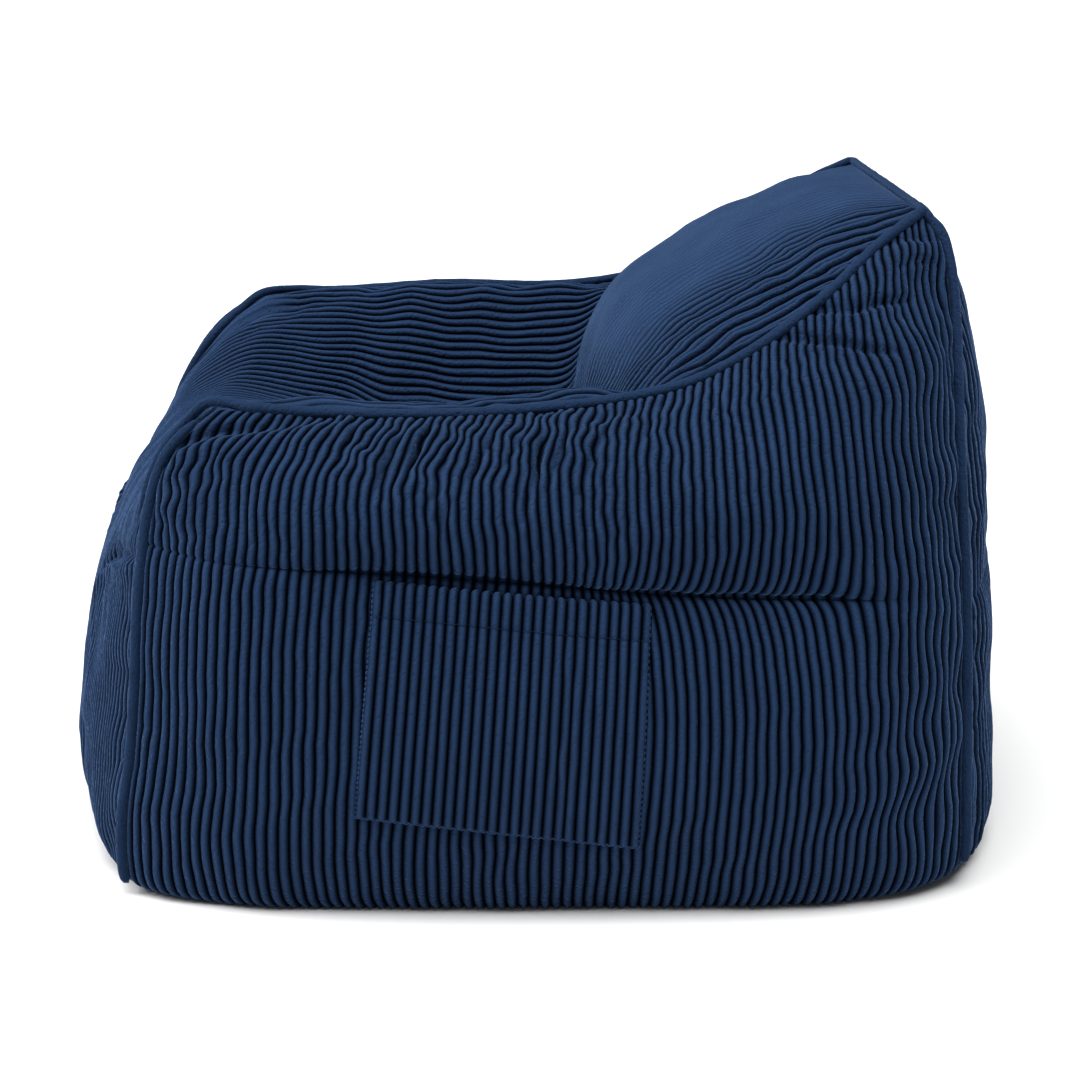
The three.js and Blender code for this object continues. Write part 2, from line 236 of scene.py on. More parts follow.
def between(side, front_station, rear_station, along):
    """A straight line across the side, from the front seam to the rear one."""
    front = seam_point(side, front_station)
    rear = seam_point(side, rear_station)
    return mixed(front, rear, along[..., None])


def foot_edge(side, along):
    """The edge on the floor, lifted a little at both corners."""
    point = between(side, 0, 3, along)
    spread = FOOT_SPREAD + FOOT_SPREAD_BEHIND * along
    point[..., 0] += side * spread * end_shape(along)
    point[..., 2] *= np.abs(2 * along - 1) ** CORNER_LIFT_SHARPNESS
    return point


def level_edge(side, along):
    """The level seam that crosses the side panel."""
    point = between(side, FRONT_JOIN, REAR_JOIN, along)
    point[..., 0] += side * SEAM_SPREAD * end_shape(along)
    is_end = (along <= 0) | (along >= 1)
    point[..., 2] = np.where(is_end, point[..., 2], LEVEL_LINE(along)[..., 1])
    return point


# %% The two parts of a side, below and above the level seam
LOWER_SWELL = 0.052
UPPER_SWELL = 0.058
FAR_EXTRA_SWELL = 0.004
SWELL_FULLNESS = 0.72
SWELL_LOWNESS = 0.85


def patch_point(bottom, top, front, rear, along, up):
    """A point of the patch between four edges, front to back and bottom to top."""
    a, b = along[..., None], up[..., None]
    start, end = np.zeros(1), np.ones(1)
    ruled = mixed(bottom(along), top(along), b) + mixed(front(up), rear(up), a)
    low = mixed(bottom(start), bottom(end), a)
    high = mixed(top(start), top(end), a)
    return ruled - mixed(low, high, b)


def swollen(point, side, along, most, shape):
    swell = most + (FAR_EXTRA_SWELL if side < 0 else 0)
    point[..., 0] += side * swell * end_shape(along) * arch(shape, SWELL_FULLNESS)
    return point


def lower_band(side, along, up):
    flat = patch_point(
        lambda t: foot_edge(side, t),
        lambda t: level_edge(side, t),
        lambda t: seam_point(side, FRONT_JOIN * t),
        lambda t: seam_point(side, 3 - (3 - REAR_JOIN) * t),
        along, up)
    return swollen(flat, side, along, LOWER_SWELL, up)


def upper_panel(side, along, up):
    flat = patch_point(
        lambda t: level_edge(side, t),
        lambda t: seam_point(side, 1 + t),
        lambda t: seam_point(side, FRONT_JOIN + (1 - FRONT_JOIN) * t),
        lambda t: seam_point(side, REAR_JOIN - (REAR_JOIN - 2) * t),
        along, up)
    return swollen(flat, side, along, UPPER_SWELL, up**SWELL_LOWNESS)


# %% One bulge that both parts of a side share
ONE_SWELL = 0.078
ONE_SWELL_FULLNESS = 0.6
BAND_SHARE = 0.44
FLUSH_FRONT = (0.06, 0.36)
FLUSH_REAR = (0.80, 0.97)
LEAST_FLUSH = 0.58
MOST_FLUSH = 0.92


def flush_share(along):
    """1 where both parts of the side bulge as one, at the front and rear of the level seam."""
    return 1 - smoothstep(along, *FLUSH_FRONT) + smoothstep(along, *FLUSH_REAR)


def seam_bow(side, stations, low, high, height):
    """How far sideways a seam stands from the straight line between its two ends."""
    ends = mixed(seam_point(side, low)[..., 0], seam_point(side, high)[..., 0], height)
    return seam_point(side, stations)[..., 0] - ends


def side_point(side, along, up):
    """A point of the whole side: up runs 0 to 1 on the lower band and 1 to 2 above it."""
    along, up = np.broadcast_arrays(along, up)
    below = up <= 1
    lower = lower_band(side, along, np.minimum(up, 1))
    upper = upper_panel(side, along, np.maximum(up - 1, 0))
    point = np.where(below[..., None], lower, upper)
    height = np.where(below, up * BAND_SHARE, BAND_SHARE + (up - 1) * (1 - BAND_SHARE))
    in_front = np.where(below, FRONT_JOIN * up, FRONT_JOIN + (1 - FRONT_JOIN) * (up - 1))
    behind = np.where(below, 3 - (3 - REAR_JOIN) * up, REAR_JOIN - (REAR_JOIN - 2) * (up - 1))
    straight = mixed(foot_edge(side, along)[..., 0], seam_point(side, 1 + along)[..., 0], height)
    front_bow = seam_bow(side, in_front, 0, 1, height)
    straight += mixed(front_bow, seam_bow(side, behind, 3, 2, height), along)
    bulge = ONE_SWELL * end_shape(along) * arch(height, ONE_SWELL_FULLNESS)
    inside = np.abs(along - 0.5) < 0.5
    share = mixed(LEAST_FLUSH, MOST_FLUSH, flush_share(along)) * inside
    point[..., 0] = mixed(point[..., 0], straight + side * bulge, share)
    return point


def base_point(across, along):
    """A point of the underside, which spans the feet of all the other panels."""
    across, along = np.broadcast_arrays(across, along)
    return patch_point(
        lambda t: strip_point(0, 2 * t - 1),
        lambda t: strip_point(3, 2 * t - 1),
        lambda t: foot_edge(-1, t),
        lambda t: foot_edge(1, t),
        across, along)


# %% [markdown]
# ## Cloth and filling
# The panels above are the pattern. Real cloth is a little bigger than the space between its
# seams, and the filling presses it out until it buckles into soft folds. So a coarse cover is
# blown up as cloth, pinned along every seam, and the way each point moves is kept. Later, the
# finely ribbed panels take that movement, which is far quicker than simulating every rib.

# %% From a grid of points to an object
def laid_grid(points):
    """A bmesh grid, its corners moved to points[row, column]."""
    rows, columns = points.shape[:2]
    work = bmesh.new()
    bmesh.ops.create_grid(work, x_segments=columns - 1, y_segments=rows - 1, size=1)
    for vert, point in zip(work.verts, points.reshape(-1, 3)):
        vert.co = point
    return work


def placed(name, work):
    """Turns a finished bmesh into an object in the scene."""
    mesh = bpy.data.meshes.new(name)
    work.to_mesh(mesh)
    work.free()
    made = bpy.data.objects.new(name, mesh)
    bpy.context.collection.objects.link(made)
    return made


# %% The coarse cover's rows and columns
FINENESS = 3
BAND_ROWS = 8 * FINENESS
PANEL_ROWS = 7 * FINENESS
SIDE_COLUMNS = 26 * FINENESS
STRIP_COLUMNS = 20 * FINENESS


def steps(start, end, count):
    return np.linspace(start, end, count, endpoint=False)


COVER_STATIONS = np.concatenate([
    steps(0, FRONT_JOIN, BAND_ROWS), steps(FRONT_JOIN, 1, PANEL_ROWS), steps(1, 2, SIDE_COLUMNS),
    steps(2, REAR_JOIN, PANEL_ROWS), steps(REAR_JOIN, 3, BAND_ROWS), [3]])
COVER_ACROSS = np.sin(np.pi / 2 * np.linspace(-1, 1, STRIP_COLUMNS + 1))
COVER_ALONG = np.linspace(0, 1, SIDE_COLUMNS + 1)
COVER_UP = np.concatenate([steps(0, 1, BAND_ROWS), steps(1, 2, PANEL_ROWS), [2]])


def cover_grids():
    """The coarse panels as grids of points: the strip, the near and far sides and the base."""
    return {
        "strip": strip_point(COVER_STATIONS[:, None], COVER_ACROSS[None, :]),
        "near": side_point(1, COVER_ALONG[None, :], COVER_UP[:, None]),
        "far": side_point(-1, COVER_ALONG[None, ::-1], COVER_UP[:, None])[:, ::-1],
        "base": base_point((1 - COVER_ACROSS[None, :]) / 2, COVER_ALONG[:, None]),
    }


# %% The closed coarse cover, and where it is sewn
COVER_WELD = 0.0002


def coarse_cover(grids):
    """Joins the coarse panels into one closed object."""
    joined = bmesh.new()
    for name, points in grids.items():
        panel = laid_grid(points)
        if name == "far":
            bmesh.ops.reverse_faces(panel, faces=panel.faces)
        part = bpy.data.meshes.new(name)
        panel.to_mesh(part)
        panel.free()
        joined.from_mesh(part)
        bpy.data.meshes.remove(part)
    bmesh.ops.remove_doubles(joined, verts=joined.verts, dist=COVER_WELD)
    return placed("coarse_cover", joined)


def tree_of(points):
    tree = KDTree(len(points))
    for number, point in enumerate(points):
        tree.insert(point, number)
    tree.balance()
    return tree


def held_points(grids):
    """Points that are sewn down: the edges of every panel, the level seams and the base."""
    lines = []
    for name, points in grids.items():
        lines += [points[0], points[-1], points[:, 0], points[:, -1]]
        if name in ("near", "far"):
            lines.append(points[BAND_ROWS])
    return np.concatenate(lines + [grids["base"].reshape(-1, 3)])


# %% Blow the cover up as cloth
CLOTH_SETTINGS = {
    "quality": 5, "mass": 0.25, "tension_stiffness": 20, "compression_stiffness": 20,
    "shear_stiffness": 8, "bending_stiffness": 0.4, "tension_damping": 8,
    "compression_damping": 8, "air_damping": 3, "use_pressure": True,
    "uniform_pressure_force": 4, "vertex_group_mass": "sewn", "shrink_min": -0.035,
}
CLOTH_FRAMES = 20
MOST_MOVE = 0.026


def blown_up(grids):
    """How far each point of each coarse grid moves when the filling presses the cloth out."""
    cover = coarse_cover(grids)
    rest = np.array([vert.co for vert in cover.data.vertices])
    tree = tree_of(rest)
    pins = {tree.find(point)[1] for point in held_points(grids)}
    cover.vertex_groups.new(name="sewn").add(sorted(pins), 1.0, "REPLACE")
    cloth = cover.modifiers.new("cloth", "CLOTH")
    for key, value in CLOTH_SETTINGS.items():
        setattr(cloth.settings, key, value)
    cloth.settings.effector_weights.gravity = 0
    cloth.point_cache.frame_start, cloth.point_cache.frame_end = 1, CLOTH_FRAMES
    scene = bpy.context.scene
    for number in range(1, CLOTH_FRAMES + 1):
        scene.frame_set(number)
    shown = cover.evaluated_get(bpy.context.evaluated_depsgraph_get()).to_mesh()
    moved = np.array([vert.co for vert in shown.vertices]) - rest
    bpy.data.meshes.remove(cover.data)
    scene.frame_set(1)

    length = np.linalg.norm(moved, axis=1, keepdims=True)
    moved *= np.minimum(1, MOST_MOVE / np.maximum(length, TINY))
    print(f"cloth: {len(rest)} points, moved {length.mean() * 1000:.1f} mm, most "
          f"{length.max() * 1000:.1f} mm")
    return {
        name: moved[[tree.find(point)[1] for point in points.reshape(-1, 3)]].reshape(points.shape)
        for name, points in grids.items()
    }


# %% Keep the folds and give back the swell
SWELL_BLUR = 60
SEWN_REACH = 3.0


def averaged(grid, times):
    for _ in range(times):
        wide = np.pad(grid, ((1, 1), (1, 1), (0, 0)), mode="edge")
        beside = wide[:-2, 1:-1] + wide[2:, 1:-1] + wide[1:-1, :-2] + wide[1:-1, 2:]
        grid = grid / 2 + beside / 8
    return grid


def folds_only(name, move):
    """The pattern is already full-blown, so the even part of the swell is taken out again."""
    rows, columns = move.shape[:2]
    row, column = np.arange(rows)[:, None], np.arange(columns)[None, :]
    cells = np.minimum(np.minimum(row, rows - 1 - row), np.minimum(column, columns - 1 - column))
    if name in ("near", "far"):
        cells = np.minimum(cells, np.abs(row - BAND_ROWS))
    free = 1 - bell(cells, SEWN_REACH)
    return move - averaged(move, SWELL_BLUR) * free[..., None]


coarse = cover_grids()
cloth_move = {name: folds_only(name, move) for name, move in blown_up(coarse).items()}


# %% Read the movement anywhere on a panel
def picked(grid, row, column):
    """Smoothly reads a grid of vectors at fractional rows and columns."""
    def weights(t):
        return np.stack([
            -0.5 * t + t**2 - 0.5 * t**3,
            1 - 2.5 * t**2 + 1.5 * t**3,
            0.5 * t + 2 * t**2 - 1.5 * t**3,
            -0.5 * t**2 + 0.5 * t**3])

    rows, columns = grid.shape[:2]
    low_row = np.clip(row.astype(int), 0, rows - 2)
    low_column = np.clip(column.astype(int), 0, columns - 2)
    by_row, by_column = weights(row - low_row), weights(column - low_column)
    total = np.zeros(row.shape + grid.shape[2:])
    for i in range(4):
        for j in range(4):
            from_row = np.clip(low_row + i - 1, 0, rows - 1)
            from_column = np.clip(low_column + j - 1, 0, columns - 1)
            total += grid[from_row, from_column] * (by_row[i] * by_column[j])[..., None]
    return total


# %% The panels with their folds
STRIP_FOLDS = 0.45
UPPER_FOLDS = 0.45
LOWER_FOLDS = 0.2
UPPER_FOLDS_RISE = (0.9, 1.3)
TIGHT_RISE = (1.5, 1.62)
TIGHT_FALL = (1.98, 2.1)
TIGHT_LOSS = 0.75


def strip_surface(station, across):
    """The strip with its folds, which are weakest where the backrest stretches it tight."""
    station, across = np.broadcast_arrays(station, across)
    row = np.interp(station, COVER_STATIONS, np.arange(len(COVER_STATIONS)))
    column = np.interp(across, COVER_ACROSS, np.arange(len(COVER_ACROSS)))
    keep = STRIP_FOLDS * (1 - TIGHT_LOSS * window(station, TIGHT_RISE, TIGHT_FALL))
    folds = picked(cloth_move["strip"], row, column) * keep[..., None]
    return strip_point(station, across) + folds


def side_surface(side, along, up):
    """A side with its folds, which are strongest in the upper panel."""
    along, up = np.broadcast_arrays(along, up)
    row = np.interp(up, COVER_UP, np.arange(len(COVER_UP)))
    move = cloth_move["near" if side > 0 else "far"]
    keep = mixed(LOWER_FOLDS, UPPER_FOLDS, smoothstep(up, *UPPER_FOLDS_RISE))
    folds = picked(move, row, along * SIDE_COLUMNS) * keep[..., None]
    return side_point(side, along, up) + folds


# %% [markdown]
# ## Ribs
# Wide-wale corduroy is a row of soft ropes with a tight groove between them. A bump map can't
# throw their shadows or make their scalloped edges, so they are real: the panel's columns follow
# the ribs, eight to each, closer together at the groove. The rows follow the cloth's length.

# %% The profile of one rib
RIB_PITCH = 0.0099
RIB_HEIGHT = 0.0047
RIB_STOPS = np.array([0, 0.045, 0.15, 0.31, 0.5, 0.69, 0.85, 0.955])
RIB_ROUNDNESS = 2.2
RIB_FULLNESS = 0.70
RIB_MIDDLE = 0.35
# Below this rib height the painted groove shade fades out.
FLAT_BELOW = 0.8 * RIB_HEIGHT
FLATTENING = 0.8


def rib_columns(count):
    """Places across the cloth, counted in ribs."""
    places = (np.arange(count)[:, None] + RIB_STOPS[None, :]).ravel()
    return np.append(places, count)


def rib_profile(places):
    """0 in the groove and 1 on the crown."""
    out = np.abs(2 * (places % 1) - 1)
    return np.maximum(1 - out**RIB_ROUNDNESS, 0) ** RIB_FULLNESS


def unshaded_share(crown, height):
    """The crown's share over the painted groove shade; a rib stretched flat gets no painted shade.
    """
    return 1 - (1 - crown) * np.clip(height / FLAT_BELOW, 0, 1) ** FLATTENING


# %% Even noise, for what no two ribs share
RIPPLE_WAVES = 9
RIPPLE_SIZES = (0.6, 1.5)
RIPPLE_PEAK = 4.2


def ripple(points, size, seed):
    """Smooth, even noise from -1 to 1, with features of about that size in metres."""
    rng = np.random.default_rng(seed)
    total = np.zeros(points.shape[:-1])
    for _ in range(RIPPLE_WAVES):
        direction = rng.normal(size=points.shape[-1])
        direction *= 2 * np.pi / size / np.linalg.norm(direction) * rng.uniform(*RIPPLE_SIZES)
        total += np.sin(points @ direction + rng.uniform(0, 2 * np.pi))
    return total / RIPPLE_PEAK


# %% What all ribbed panels share
RIB_RISE = 0.006
RIB_UNEVENNESS = 0.12
RIB_WAVE = 0.05
LUMP_RISE = 0.03
SEAM_VALLEY = 0.002
SEAM_VALLEY_WIDTH = 0.005


def rib_height(smooth, edge, seed):
    """Ribs rise out of a panel's edge, and their height varies a little."""
    uneven = 1 + RIB_UNEVENNESS * ripple(smooth, RIB_WAVE, seed)
    return RIB_HEIGHT * smoothstep(edge, 0, RIB_RISE) * uneven


def lumps(smooth, edge, height, size, seed):
    """The filling's own lumps, which fade towards a panel's edge."""
    return height * ripple(smooth, size, seed) * smoothstep(edge, 0, LUMP_RISE)


def seam_valley(from_seam):
    """How deep the thread draws the cloth in beside a seam."""
    return SEAM_VALLEY * bell(from_seam, SEAM_VALLEY_WIDTH)


def outward_normals(points):
    """Unit normals of a grid of points whose rows run up and whose columns run rightwards."""
    return unit(np.cross(np.gradient(points, axis=1), np.gradient(points, axis=0)))


def panel_normals(surface, places, start):
    """Normals worked out at evenly spread places, and read at each row's own places."""
    spread = np.linspace(start, 1, places.shape[1])
    normal = outward_normals(surface(np.broadcast_to(spread, places.shape)))
    return unit(np.stack([
        [np.interp(at, spread, line[:, axis]) for at, line in zip(places, normal)]
        for axis in range(3)], axis=-1))


# %% What the material reads: crown or groove, for painted shade, and the place on the flat cloth
def mark_crown(work, values):
    layer = work.verts.layers.float.new("crown")
    for vert, value in zip(work.verts, values):
        vert[layer] = value


def mark_place(work, uv):
    layer = work.loops.layers.uv.new("cloth")
    flat_uv = uv.reshape(-1, 2)
    work.verts.index_update()
    for face in work.faces:
        for loop in face.loops:
            loop[layer].uv = flat_uv[loop.vert.index]


def cloth_piece(name, work, node):
    """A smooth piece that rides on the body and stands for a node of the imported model."""
    piece = placed(name, work)
    piece.data.shade_smooth()
    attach(piece, "root")
    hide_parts(node)
    print(f"{name}: {len(piece.data.polygons)} faces")
    return piece


# %% Turn a grid of points into a sewn panel
TUCK = 0.008
BODY_HEART = Vector((0, 0, 0.24))
PANEL_WELD = 0.00008


def sewn_panel(name, points, crown, uv, node="filled_body", weld=0):
    """A panel whose edges are turned in, as its seam allowance is."""
    work = laid_grid(points)
    mark_crown(work, crown.ravel())
    mark_place(work, uv)
    if weld:
        bmesh.ops.remove_doubles(work, verts=work.verts, dist=weld)
    rim = [edge for edge in work.edges if edge.is_boundary]
    turned = bmesh.ops.extrude_edge_only(work, edges=rim)["geom"]
    for vert in (part for part in turned if isinstance(part, bmesh.types.BMVert)):
        vert.co += (BODY_HEART - vert.co).normalized() * TUCK
    return cloth_piece(name, work, node)


# %% [markdown]
# ## Side panels
# Each side has about eighty upright ribs. They stand at even distances along the cloth, so they
# crowd where the panel turns away at the front and rear, and lean with the front seam. The level
# seam pulls them in across the middle. Short diagonal pinches fan out under the arm's cord.

# %% Places along each row, even in cloth width
WIDTH_WEIGHTS = np.array([0.75, 1.0, 0.0])


def evenly_along(surface_rows, shares, wanted):
    """For each row of points, the shares at which its wanted lengths lie, 0 to 1."""
    length = running_length(np.swapaxes(surface_rows * WIDTH_WEIGHTS, 0, 1))
    found = [np.interp(places, line / line[-1], shares) for places, line in zip(wanted, length.T)]
    return np.array(found)


def eased(count, start, end, easing=0.75):
    """Steps that are closer together at both ends."""
    t = np.linspace(0, 1, count + 1)
    return start + (end - start) * mixed(t, (1 - np.cos(np.pi * t)) / 2, easing)


def distance_to(line, points):
    """Each point's distance from a line of points, signed by side, and the share along it."""
    best = np.full(points.shape[:-1], np.inf)
    share = np.zeros(points.shape[:-1])
    signed = np.zeros(points.shape[:-1])
    line = np.array(line, float)
    for number, (start, end) in enumerate(zip(line[:-1], line[1:])):
        run = end - start
        t = np.clip(((points - start) @ run) / (run @ run), 0, 1)
        offset = points - start - t[..., None] * run
        gap = np.linalg.norm(offset, axis=-1)
        side = np.sign(run[0] * offset[..., 1] - run[1] * offset[..., 0])
        nearer = gap < best
        best = np.where(nearer, gap, best)
        signed = np.where(nearer, gap * side, signed)
        share = np.where(nearer, (number + t) / (len(line) - 1), share)
    return signed, share


# %% Pinches on the sides: lines of y and z, then width and depth in metres
PINCHES = [
    ([(-0.169, 0.461), (-0.175, 0.447), (-0.184, 0.425)], 0.0045, 0.004),
    ([(-0.127, 0.458), (-0.140, 0.437), (-0.151, 0.408)], 0.0050, 0.006),
    ([(-0.103, 0.460), (-0.112, 0.444), (-0.122, 0.420)], 0.0045, 0.005),
    ([(-0.080, 0.452), (-0.090, 0.428), (-0.101, 0.400)], 0.0045, 0.005),
    ([(-0.046, 0.453), (-0.057, 0.439), (-0.068, 0.420)], 0.0045, 0.006),
    ([(-0.016, 0.463), (-0.024, 0.451), (-0.036, 0.430)], 0.0040, 0.005),
    ([(0.000, 0.455), (-0.006, 0.428), (-0.020, 0.388)], 0.0050, 0.006),
    ([(0.023, 0.458), (0.014, 0.441), (0.000, 0.410)], 0.0040, 0.006),
    ([(0.059, 0.462), (0.045, 0.443), (0.030, 0.408)], 0.0045, 0.006),
    ([(0.104, 0.474), (0.088, 0.451)], 0.0040, 0.004),
    ([(0.236, 0.548), (0.266, 0.555), (0.283, 0.555), (0.316, 0.561), (0.340, 0.560)],
     0.0045, 0.009),
    ([(0.212, 0.530), (0.238, 0.531), (0.273, 0.528), (0.296, 0.521), (0.322, 0.519)],
     0.0045, 0.009),
    ([(0.322, 0.606), (0.345, 0.612), (0.368, 0.609)], 0.0040, 0.005),
    ([(0.330, 0.588), (0.350, 0.594), (0.372, 0.588)], 0.0040, 0.004),
]
PINCH_START = 0.12
PINCH_RUN = 0.8
PINCH_FULLNESS = 0.7
PINCH_LIPS = 0.6


def pinched(flat):
    """How far the pinches press each point in, with a slight lip along both sides."""
    press = np.zeros(flat.shape[:-1])
    for line, width, depth in PINCHES:
        gap, share = distance_to(line, flat)
        fade = arch(PINCH_START + PINCH_RUN * share, PINCH_FULLNESS)
        lips = 1 - PINCH_LIPS * (gap / width) ** 2
        press -= depth * fade * lips * bell(gap, width)
    return press


# %% The fold that hangs over itself at the arm's front
SHELF_FOLD = [
    (-0.340, 0.426), (-0.333, 0.437), (-0.319, 0.445), (-0.300, 0.452), (-0.275, 0.456),
    (-0.251, 0.459), (-0.221, 0.461), (-0.191, 0.465),
]
SHELF_DEPTH = 0.0075
SHELF_WIDTH = 0.0042
SHELF_START = 0.1
SHELF_RUN = 0.85
SHELF_FULLNESS = 0.5
LIP_HEIGHT = 0.0045
LIP_DROP = 0.011
LIP_WIDTH = 0.008


def shelf(flat):
    """A crease under the arm's cord, with a full lip below it."""
    gap, share = distance_to(SHELF_FOLD, flat)
    crease = SHELF_DEPTH * bell(gap, SHELF_WIDTH)
    lip = LIP_HEIGHT * bell(gap + LIP_DROP, LIP_WIDTH)
    return (lip - crease) * arch(SHELF_START + SHELF_RUN * share, SHELF_FULLNESS)


# %% How the ribs wander: each drift's width in ribs, the size of its waves and its seed
SIDE_RIBS = 81
REAR_DRIFT = (0.38, 0.072, 11)
FRONT_DRIFT = (0.28, 0.026, 21)
GATHERED_DRIFT = (0.3, 0.036, 31)
SLOW_DRIFT = (0.09, 0.07, 41)
FINE_DRIFT = (0.045, 0.028, 42)
ALONG_WAVES = np.array([1.0, 0.35, 1.0])
REAR_RISE = (0.76, 0.93)
FRONT_FALL = (0.03, 0.13)
FRONT_UP_RISE = (0.98, 1.15)
PUCKER_UP_RISE = (1.35, 1.8)
PUCKER_RISE = (0.1, 0.2)
PUCKER_FALL = (0.5, 0.64)


def pucker_share(along, up):
    """Where the arm's seam gathers the cloth into beads."""
    return smoothstep(up, *PUCKER_UP_RISE) * window(along, PUCKER_RISE, PUCKER_FALL)


def wander(smooth, along, up, side):
    """Sideways drift of the ribs, in ribs."""
    def drift(kind, points):
        ribs, size, seed = kind
        return ribs * ripple(points, size, seed + side)

    stretched = smooth * ALONG_WAVES
    in_front = (1 - smoothstep(along, *FRONT_FALL)) * smoothstep(up, *FRONT_UP_RISE)
    total = smoothstep(along, *REAR_RISE) * drift(REAR_DRIFT, stretched)
    total += in_front * drift(FRONT_DRIFT, stretched)
    total += pucker_share(along, up) * drift(GATHERED_DRIFT, smooth)
    return total + drift(SLOW_DRIFT, smooth) + drift(FINE_DRIFT, stretched)


# %% The V behind the pocket
KINK_RIBS = 2.2
KINK_REACH = 0.042
KINK_RISE = (0.46, 0.66)
KINK_FALL = (0.80, 0.92)


def level_kink(along, level):
    """Behind the pocket, the level seam drags the ribs forward in a V."""
    return -KINK_RIBS * window(along, KINK_RISE, KINK_FALL) * np.exp(-level / KINK_REACH)


# %% Where the pocket lies: y and z of its corners
POCKET_FRONT = {"top": (-0.153, 0.333), "bottom": (-0.174, 0.110)}
POCKET_REAR = {"top": (0.096, 0.309), "bottom": (0.087, 0.077)}
POCKET_RIM = (-0.001, 0.005)


def under_pocket(flat):
    """1 where the pocket presses the ribs beneath it flat, and 0 outside its outline."""
    y, z = flat[..., 0], flat[..., 1]

    def edge_y(corners):
        (top_y, top_z), (bottom_y, bottom_z) = corners["top"], corners["bottom"]
        return mixed(bottom_y, top_y, (z - bottom_z) / (top_z - bottom_z))

    front, rear = edge_y(POCKET_FRONT), edge_y(POCKET_REAR)
    across = (y - front) / (rear - front)
    top = mixed(POCKET_FRONT["top"][1], POCKET_REAR["top"][1], across)
    bottom = mixed(POCKET_FRONT["bottom"][1], POCKET_REAR["bottom"][1], across)
    inside = np.minimum(np.minimum(y - front, rear - y), np.minimum(z - bottom, top - z))
    return smoothstep(inside, *POCKET_RIM)


# %% The ribs' places on a side
ROWS_BELOW = 38
ROWS_ABOVE = 84
EASING_ABOVE = 0.5
LEVEL_ROWS = 1 + np.array([-0.0045, -0.0018, 0, 0.0025, 0.0055])
LEVEL_ROW = ROWS_BELOW + 2
SIDE_UP = np.concatenate([
    eased(ROWS_BELOW, 0, 1)[:-1], LEVEL_ROWS, eased(ROWS_ABOVE, 1, 2, EASING_ABOVE)[1:]])
RIB_PLACES = rib_columns(SIDE_RIBS)[None, :]
RIBS_CUT_IN_FRONT = 3.0
CUT_IN_FRONT_RISE = (1.05, 2.0)
RIBS_CUT_BEHIND = [
    (1.0, 3.2), (1.4, 1.6), (1.8, 0.15), (1.9, 0.8), (1.96, 2.1), (2.0, 3.3),
]
HELD_AT_FOOT = 0.05
HELD_AT_SEAM = 0.02


def side_lengths(smooth):
    """Cloth length from the foot, from the top seam and from the level seam."""
    from_foot = running_length(smooth)
    return from_foot, from_foot[-1] - from_foot, np.abs(from_foot - from_foot[LEVEL_ROW])


def side_ribs(side):
    """Places along and up the side, ribs from the nearer end, and the places once wandered."""
    shares = np.linspace(0, 1, 300)
    rows = side_surface(side, shares[None, :], SIDE_UP[:, None])
    first = RIBS_CUT_IN_FRONT * smoothstep(SIDE_UP, *CUT_IN_FRONT_RISE)[:, None]
    last = SIDE_RIBS - np.interp(SIDE_UP, *np.transpose(RIBS_CUT_BEHIND))[:, None]
    ribs_in = np.maximum(np.minimum(RIB_PLACES - first, last - RIB_PLACES), 0)
    wanted = np.clip((RIB_PLACES - first) / (last - first), 0, 1)
    along = evenly_along(rows, shares, wanted)
    up = np.broadcast_to(SIDE_UP[:, None], along.shape)
    smooth = side_surface(side, along, up)
    from_foot, from_top, level = side_lengths(smooth)
    held = np.clip(from_foot / HELD_AT_FOOT, 0, 1) * np.clip(from_top / HELD_AT_SEAM, 0, 1)
    drift = wander(smooth, along, up, side) * held * smoothstep(level, 0, HELD_AT_SEAM)
    drift = (drift + level_kink(along, level)) * np.minimum(ribs_in, 1)
    return along, up, ribs_in, np.clip(along + drift / SIDE_RIBS, 0, 1)


# %% How far a side's cloth stands off its smooth surface
LEVEL_SEWN_FALL = (0.82, 0.92)
LEVEL_RIBS_LOSS = 0.25
LEVEL_RIBS_WIDTH = 0.0025
LEVEL_HOLLOW = 0.004
LEVEL_HOLLOW_WIDTH = 0.007
LEVEL_THREAD = 0.0026
LEVEL_THREAD_FLUSH = 0.0012
LEVEL_THREAD_WIDTH = 0.0015
PRESSED_RIBS_LOSS = 0.7
PRESSED_DEPTH = 0.0035
SIDE_LUMPS = (0.0022, 0.09, 5)
SIDE_RIB_SEED = 3
BEAD_DEPTH = 0.0026
BEAD_SIZE = 0.024
BEAD_SEED = 51
BEAD_ROUNDNESS = 1.5
BEADS_RISE = 0.01
PINCHES_RISE = (0.001, 0.009)


